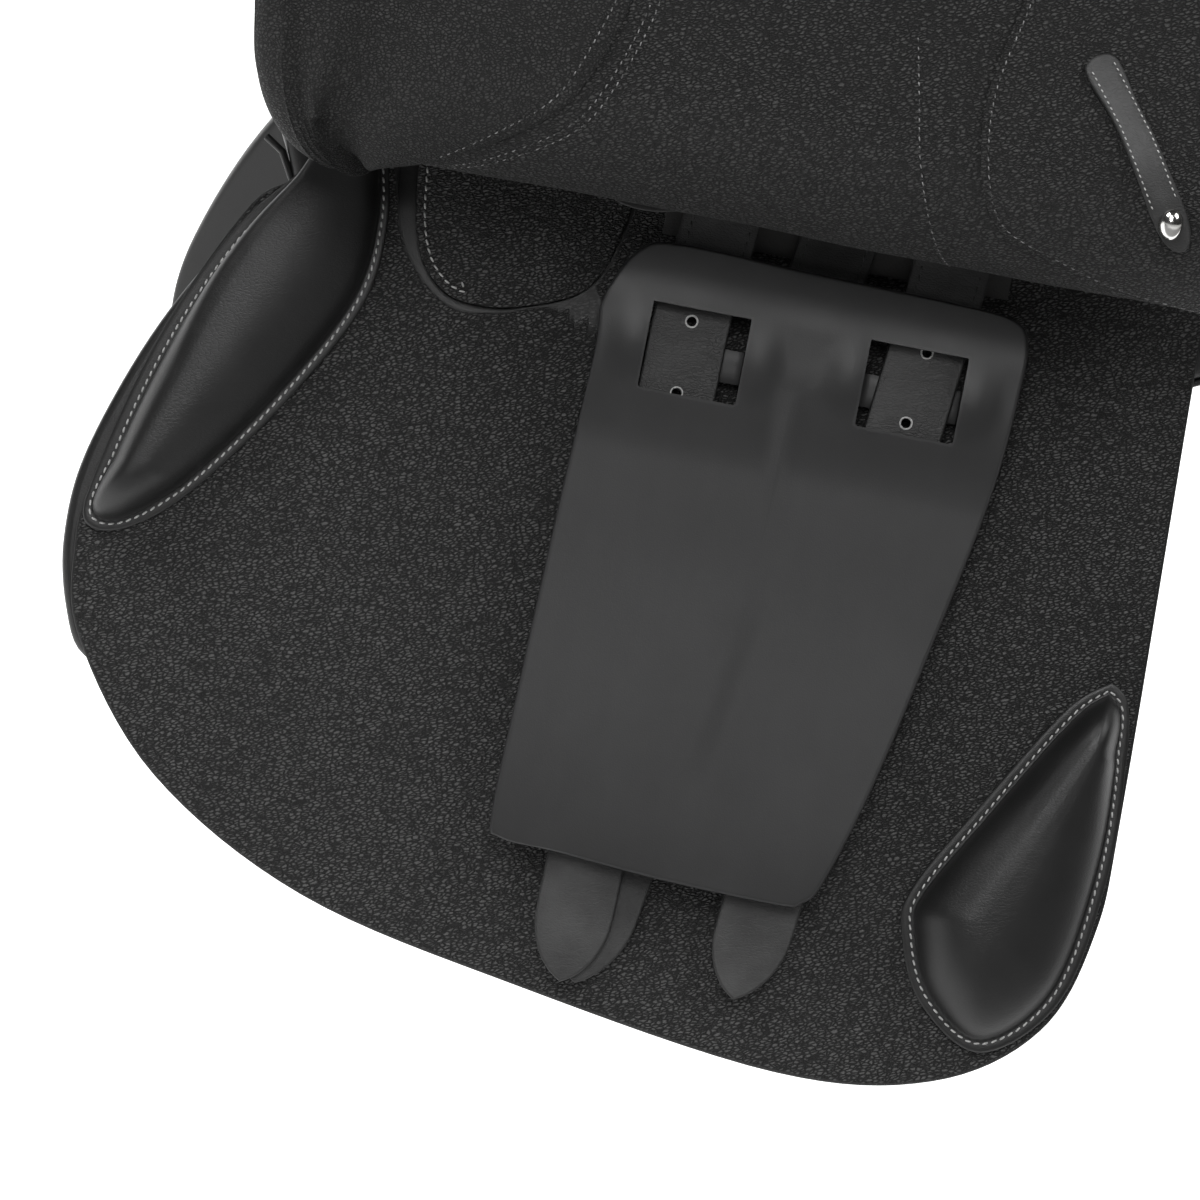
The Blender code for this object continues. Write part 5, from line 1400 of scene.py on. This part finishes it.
ROLL_BASE = FLAP_THICKNESS / 2 + GAP
for side in SIDES:
    rings = []
    for length in spread(0.128, 0.236, 44):
        along = (length - 0.128) / 0.108
        fade = max(math.sin(math.pi * along), 0.0) ** 0.5
        front = through(FLAP_FRONT_LINE, length) + 0.007
        reach = 0.046 * (0.45 + 0.55 * fade)
        ring = []
        for across in spread(0.0, 1.0, 26):
            border = smoothstep(0.0, 0.09, across) * smoothstep(1.0, 0.91, across)
            crown = math.sin(math.pi * across) ** 0.8
            rise = 0.5 * MM + 0.7 * MM * min(border * 4, 1) + 0.009 * fade * crown * border
            ring.append(on_flap(side, front + reach * across, length, ROLL_BASE + rise))
        ring += [on_flap(side, front + reach * across, length, ROLL_BASE)
                 for across in spread(1.0, 0.0, 12)]
        rings.append(ring)
    pad = skin(rings)
    finish_piece("flap_roll_" + side, calf, "flap_" + side, 60)
    plain_edge(pad)
    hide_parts("flap_pad_" + side)


# Seat
# Smooth calf blocked over the seat foam. It is deepest behind its middle and rises to the pommel and
# the cantle; its lower edge is welted.

SEAT_ROUNDING = 0.008


def seat_half(x, inset, steps=9):
    """Half-section of the seat's upper face, from the middle to the welt."""
    width = through(WIDTH_LINE, x) - inset
    top = through(SEAT_LINE, x) - inset
    edge = welt_height(x) - inset * 0.3
    corners = [(0.0, top), (0.5 * width, mix(top, edge, 0.06)), (0.84 * width, mix(top, edge, 0.36)),
               (width, edge)]
    return curve_through(corners, steps)


def seat_ring(x, inset):
    """Closed ring round the seat: over its top, down to the welt, and back along the tree."""
    top = seat_half(x, inset)
    floor = tree_face(x, 0.0, FLANK_OUTER, GAP)[:9]
    foot = (min(floor[-1][0], top[-1][0] - 0.0008), min(floor[-1][1], top[-1][1] - 0.003))
    side_wall = [mix(top[-1], foot, share) for share in (0.12, 0.35, 0.65)]
    half = top + side_wall + [foot] + list(reversed(floor[1:-1]))
    ring = [(x, y, z) for y, z in half] + [(x, 0.0, floor[0][1])]
    return ring + [(x, -y, z) for y, z in reversed(half[1:])]


stations = [(POMMEL_X + SEAT_ROUNDING * (1 - math.sin(turn)), SEAT_ROUNDING * (1 - math.cos(turn)))
            for turn in spread(math.radians(80), 0, 7)]
stations += [(x, 0.0) for x in spread(POMMEL_X + SEAT_ROUNDING, CANTLE_X - SEAT_ROUNDING, 96)[1:-1]]
stations += [(CANTLE_X - SEAT_ROUNDING * (1 - math.sin(turn)), SEAT_ROUNDING * (1 - math.cos(turn)))
             for turn in spread(0, math.radians(80), 7)]
seat = skin([seat_ring(x, inset) for x, inset in stations])
finish_piece("seat_calf", calf, "saddle", 50)
plain_edge(seat)
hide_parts("seat_cover", "seat_foam")
for side in SIDES:
    sign = -1 if side == "left" else 1
    welt = []
    for x in spread(POMMEL_X + 0.006, CANTLE_X - 0.006, 120):
        y, z = seat_half(x, 0.0)[-1]
        welt.append((x, sign * (y + 0.0006), z - 0.0006))
    tube("seat_welt_" + side, welt, 1.6 * MM, calf, "saddle", 10)
    plain_edge(bpy.context.active_object)
    row = []
    for x in spread(POMMEL_X + 0.012, CANTLE_X - 0.012, 200):
        y, z = seat_half(x, 0.0)[-4]
        row.append((x, sign * y, z))
    stitches("seat_stitches_" + side, row, [(0, sign * 0.6, 0.8)] * len(row), thread_dark, "saddle",
             "smooth_calf")


# Skirts
# Smooth calf cut as one flap on each side, blocked over the stirrup bar. Each turns on its sewn upper
# edge, and its foot has a painted edge and a row of stitches.

SKIRT_THICKNESS = 2.6 * MM
SKIRT_FRONT_X, SKIRT_REAR_X = -0.192, 0.118


def skirt_section(x, steps=8):
    """Half-section of the skirt's middle layer, from the seat's edge to its lower edge."""
    width = through(WIDTH_LINE, x)
    edge = welt_height(x) - 0.012
    end = smoothstep(0, 1,
                     max((SKIRT_FRONT_X + 0.030 - x) / 0.030, (x - SKIRT_REAR_X + 0.060) / 0.060, 0.0))
    crest = section(-0.064, 0.0375)
    top_height = edge + 0.003
    slope = math.atan2(top_height - crest[1], crest[0] - width)
    top = (width + GAP + SKIRT_THICKNESS / 2 * math.sin(slope), top_height)
    brow = section(-0.033, 0.0525)
    foot = section(0.008 - 0.020 * end, 0.0323 + 0.008 * end)
    rise = (mix(top[0], crest[0], 0.5), mix(top[1], crest[1], 0.5) + 0.003)
    return curve_through([top, rise, crest, brow, mix(brow, foot, 0.55), foot], steps)


def skirt_faces(side, x, half):
    """Outer and inner line of the skirt at one X."""
    sign = -1 if side == "left" else 1
    middle = skirt_section(x)
    faces = ([], [])
    for i, (y, z) in enumerate(middle):
        before, after = middle[max(i - 1, 0)], middle[min(i + 1, len(middle) - 1)]
        run = (after[0] - before[0], after[1] - before[1])
        size = math.hypot(*run)
        near_foot = min((len(middle) - 1 - i) / 2, 1)
        reach = half * (0.55 + 0.45 * near_foot)
        away = (-run[1] / size * reach, run[0] / size * reach)
        faces[0].append((x, sign * (y + away[0]), z + away[1]))
        faces[1].append((x, sign * (y - away[0]), z - away[1]))
    return faces


for side in SIDES:
    rings = []
    for x in spread(SKIRT_FRONT_X, SKIRT_REAR_X, 110):
        near_end = min(x - SKIRT_FRONT_X, SKIRT_REAR_X - x)
        outer, inner = skirt_faces(side, x,
                                   SKIRT_THICKNESS / 2 * (0.5 + 0.5 * smoothstep(0, 0.002, near_end)))
        rings.append(outer + inner[::-1])
    skirt = skin(rings)
    finish_piece("skirt_calf_" + side, calf, "skirt_" + side, 50)
    edge_points = [face[-1] for x in spread(SKIRT_FRONT_X, SKIRT_REAR_X, 200)
                   for face in skirt_faces(side, x, SKIRT_THICKNESS / 2)]
    mark_edge(skirt, edge_points)
    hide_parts("skirt_" + side)
    row, ups = [], []
    for x in spread(SKIRT_FRONT_X + 0.004, SKIRT_REAR_X - 0.004, 160):
        outer, inner = skirt_faces(side, x, SKIRT_THICKNESS / 2)
        row.append(outer[-4])
        ups.append((Vector(outer[-4]) - Vector(inner[-4])).normalized())
    stitches("skirt_stitches_" + side, row, ups, thread_dark, "skirt_" + side, "smooth_calf")


# Metal fittings
# The stirrup bars and their catches are forged steel, and the front dee rings are polished nickel.
# The rings hang in folded leather chapes.

for side in SIDES:
    dress("stirrup_bar_" + side, steel)
    dress("stirrup_catch_" + side, steel)
    dress("front_dee_" + side, nickel)
    dress("dee_chape_" + side, bridle_plain)


# Studio
# A pale sweep of paper stands behind the saddle. Two soft lights stand in front of it, and others
# hang at the upper left and the upper right.

paper, w = new_material("studio_paper", 0.9, colour=(0.85, 0.85, 0.85))
depth = w.node("SeparateXYZ", {}, {"Vector": w.node("TexCoord", output=3)}, 1)
slanted = depth - 0.5 * along_x(w)
# The paper glows white behind the saddle and half as much far in front of it; in a band just in front of
# the saddle it is dark grey and does not glow: painted shade on the floor.
glow_outside_shade_band = slanted.ramp(-0.44, -0.26) + 0.5 * (1 - slanted.ramp(-1.7, -0.9))
glow = w.node("Mix", {"data_type": "RGBA"}, {0: glow_outside_shade_band, 6: (0, 0, 0, 1), 7: (1, 1, 1, 1)}, 2)
shade = w.node("Mix", {"data_type": "RGBA"}, {0: glow_outside_shade_band, 6: (0.3, 0.3, 0.3, 1), 7: (0.85, 0.85, 0.85, 1)}, 2)
feed(paper, base_color=shade, emission_color=glow)
paper.node_tree.nodes["Principled BSDF"].inputs["Emission Strength"].default_value = 1.0

CLEAR_OF_FLOOR = 0.070
floor_z = min(place("left", 0.0, 0.0)[2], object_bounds()[0][2]) - CLEAR_OF_FLOOR
profile = [(-14.0, 0.0), (-0.6, 0.0), (-0.2, 0.0), (0.3, 0.0), (0.8, 0.0), (3.8, 0.0), (4.3, 0.1),
           (4.6, 0.4), (4.7, 0.9), (4.7, 4.0)]
sweep = skin([[(x, y, floor_z + z) for x in spread(-14, 14, 6)] for y, z in profile], closed=False)
sweep.name = "floor"
sweep.data.name = "floor"
bpy.ops.object.shade_smooth()
sweep.data.materials.append(paper)


def soft_light(name, place, aim, size, power):
    """Square soft box that points at a place."""
    light = bpy.data.lights.new(name, "AREA")
    light.size = size
    light.energy = power
    lamp = bpy.data.objects.new(name, light)
    bpy.context.scene.collection.objects.link(lamp)
    lamp.location = place
    lamp.rotation_euler = (Vector(aim) - Vector(place)).to_track_quat("-Z", "Y").to_euler()


soft_light("key_light", (-0.20, -1.40, 1.10), (0.0, -0.15, -0.15), 0.6, 11)
soft_light("front_light", (-0.10, -1.60, 0.75), (0.0, -0.15, -0.15), 0.5, 7)
soft_light("left_light", (-1.15, -0.65, 1.50), (0.0, -0.15, -0.10), 0.9, 15)
soft_light("right_light", (1.15, -0.65, 1.40), (0.0, -0.15, -0.10), 0.9, 17)

world = bpy.data.worlds.new("studio")
bpy.context.scene.world = world
world.use_nodes = True
world.node_tree.nodes["Background"].inputs["Color"].default_value = (1, 1, 1, 1)
world.node_tree.nodes["Background"].inputs["Strength"].default_value = 0.03

TURN = math.radians(11)  # by which the photo is turned in its own plane
CAMERA_DISTANCE = 2.4
facing = Vector((0, -math.cos(FLARE), math.sin(FLARE)))
upright = Vector((0, math.sin(FLARE), math.cos(FLARE)))
right_way = math.cos(TURN) * Vector((1, 0, 0)) + math.sin(TURN) * upright
up_way = -math.sin(TURN) * Vector((1, 0, 0)) + math.cos(TURN) * upright
camera = bpy.data.objects.new("camera", bpy.data.cameras.new("camera"))
bpy.context.scene.collection.objects.link(camera)
camera.data.lens = 216
camera.data.sensor_width = 36
target = Vector(place("left", 0.013, 0.1677))
turned = Matrix((right_way, up_way, facing)).transposed()
camera.matrix_world = Matrix.Translation(target + CAMERA_DISTANCE * facing) @ turned.to_4x4()
bpy.context.scene.camera = camera
bpy.context.scene.view_settings.view_transform = "Standard"
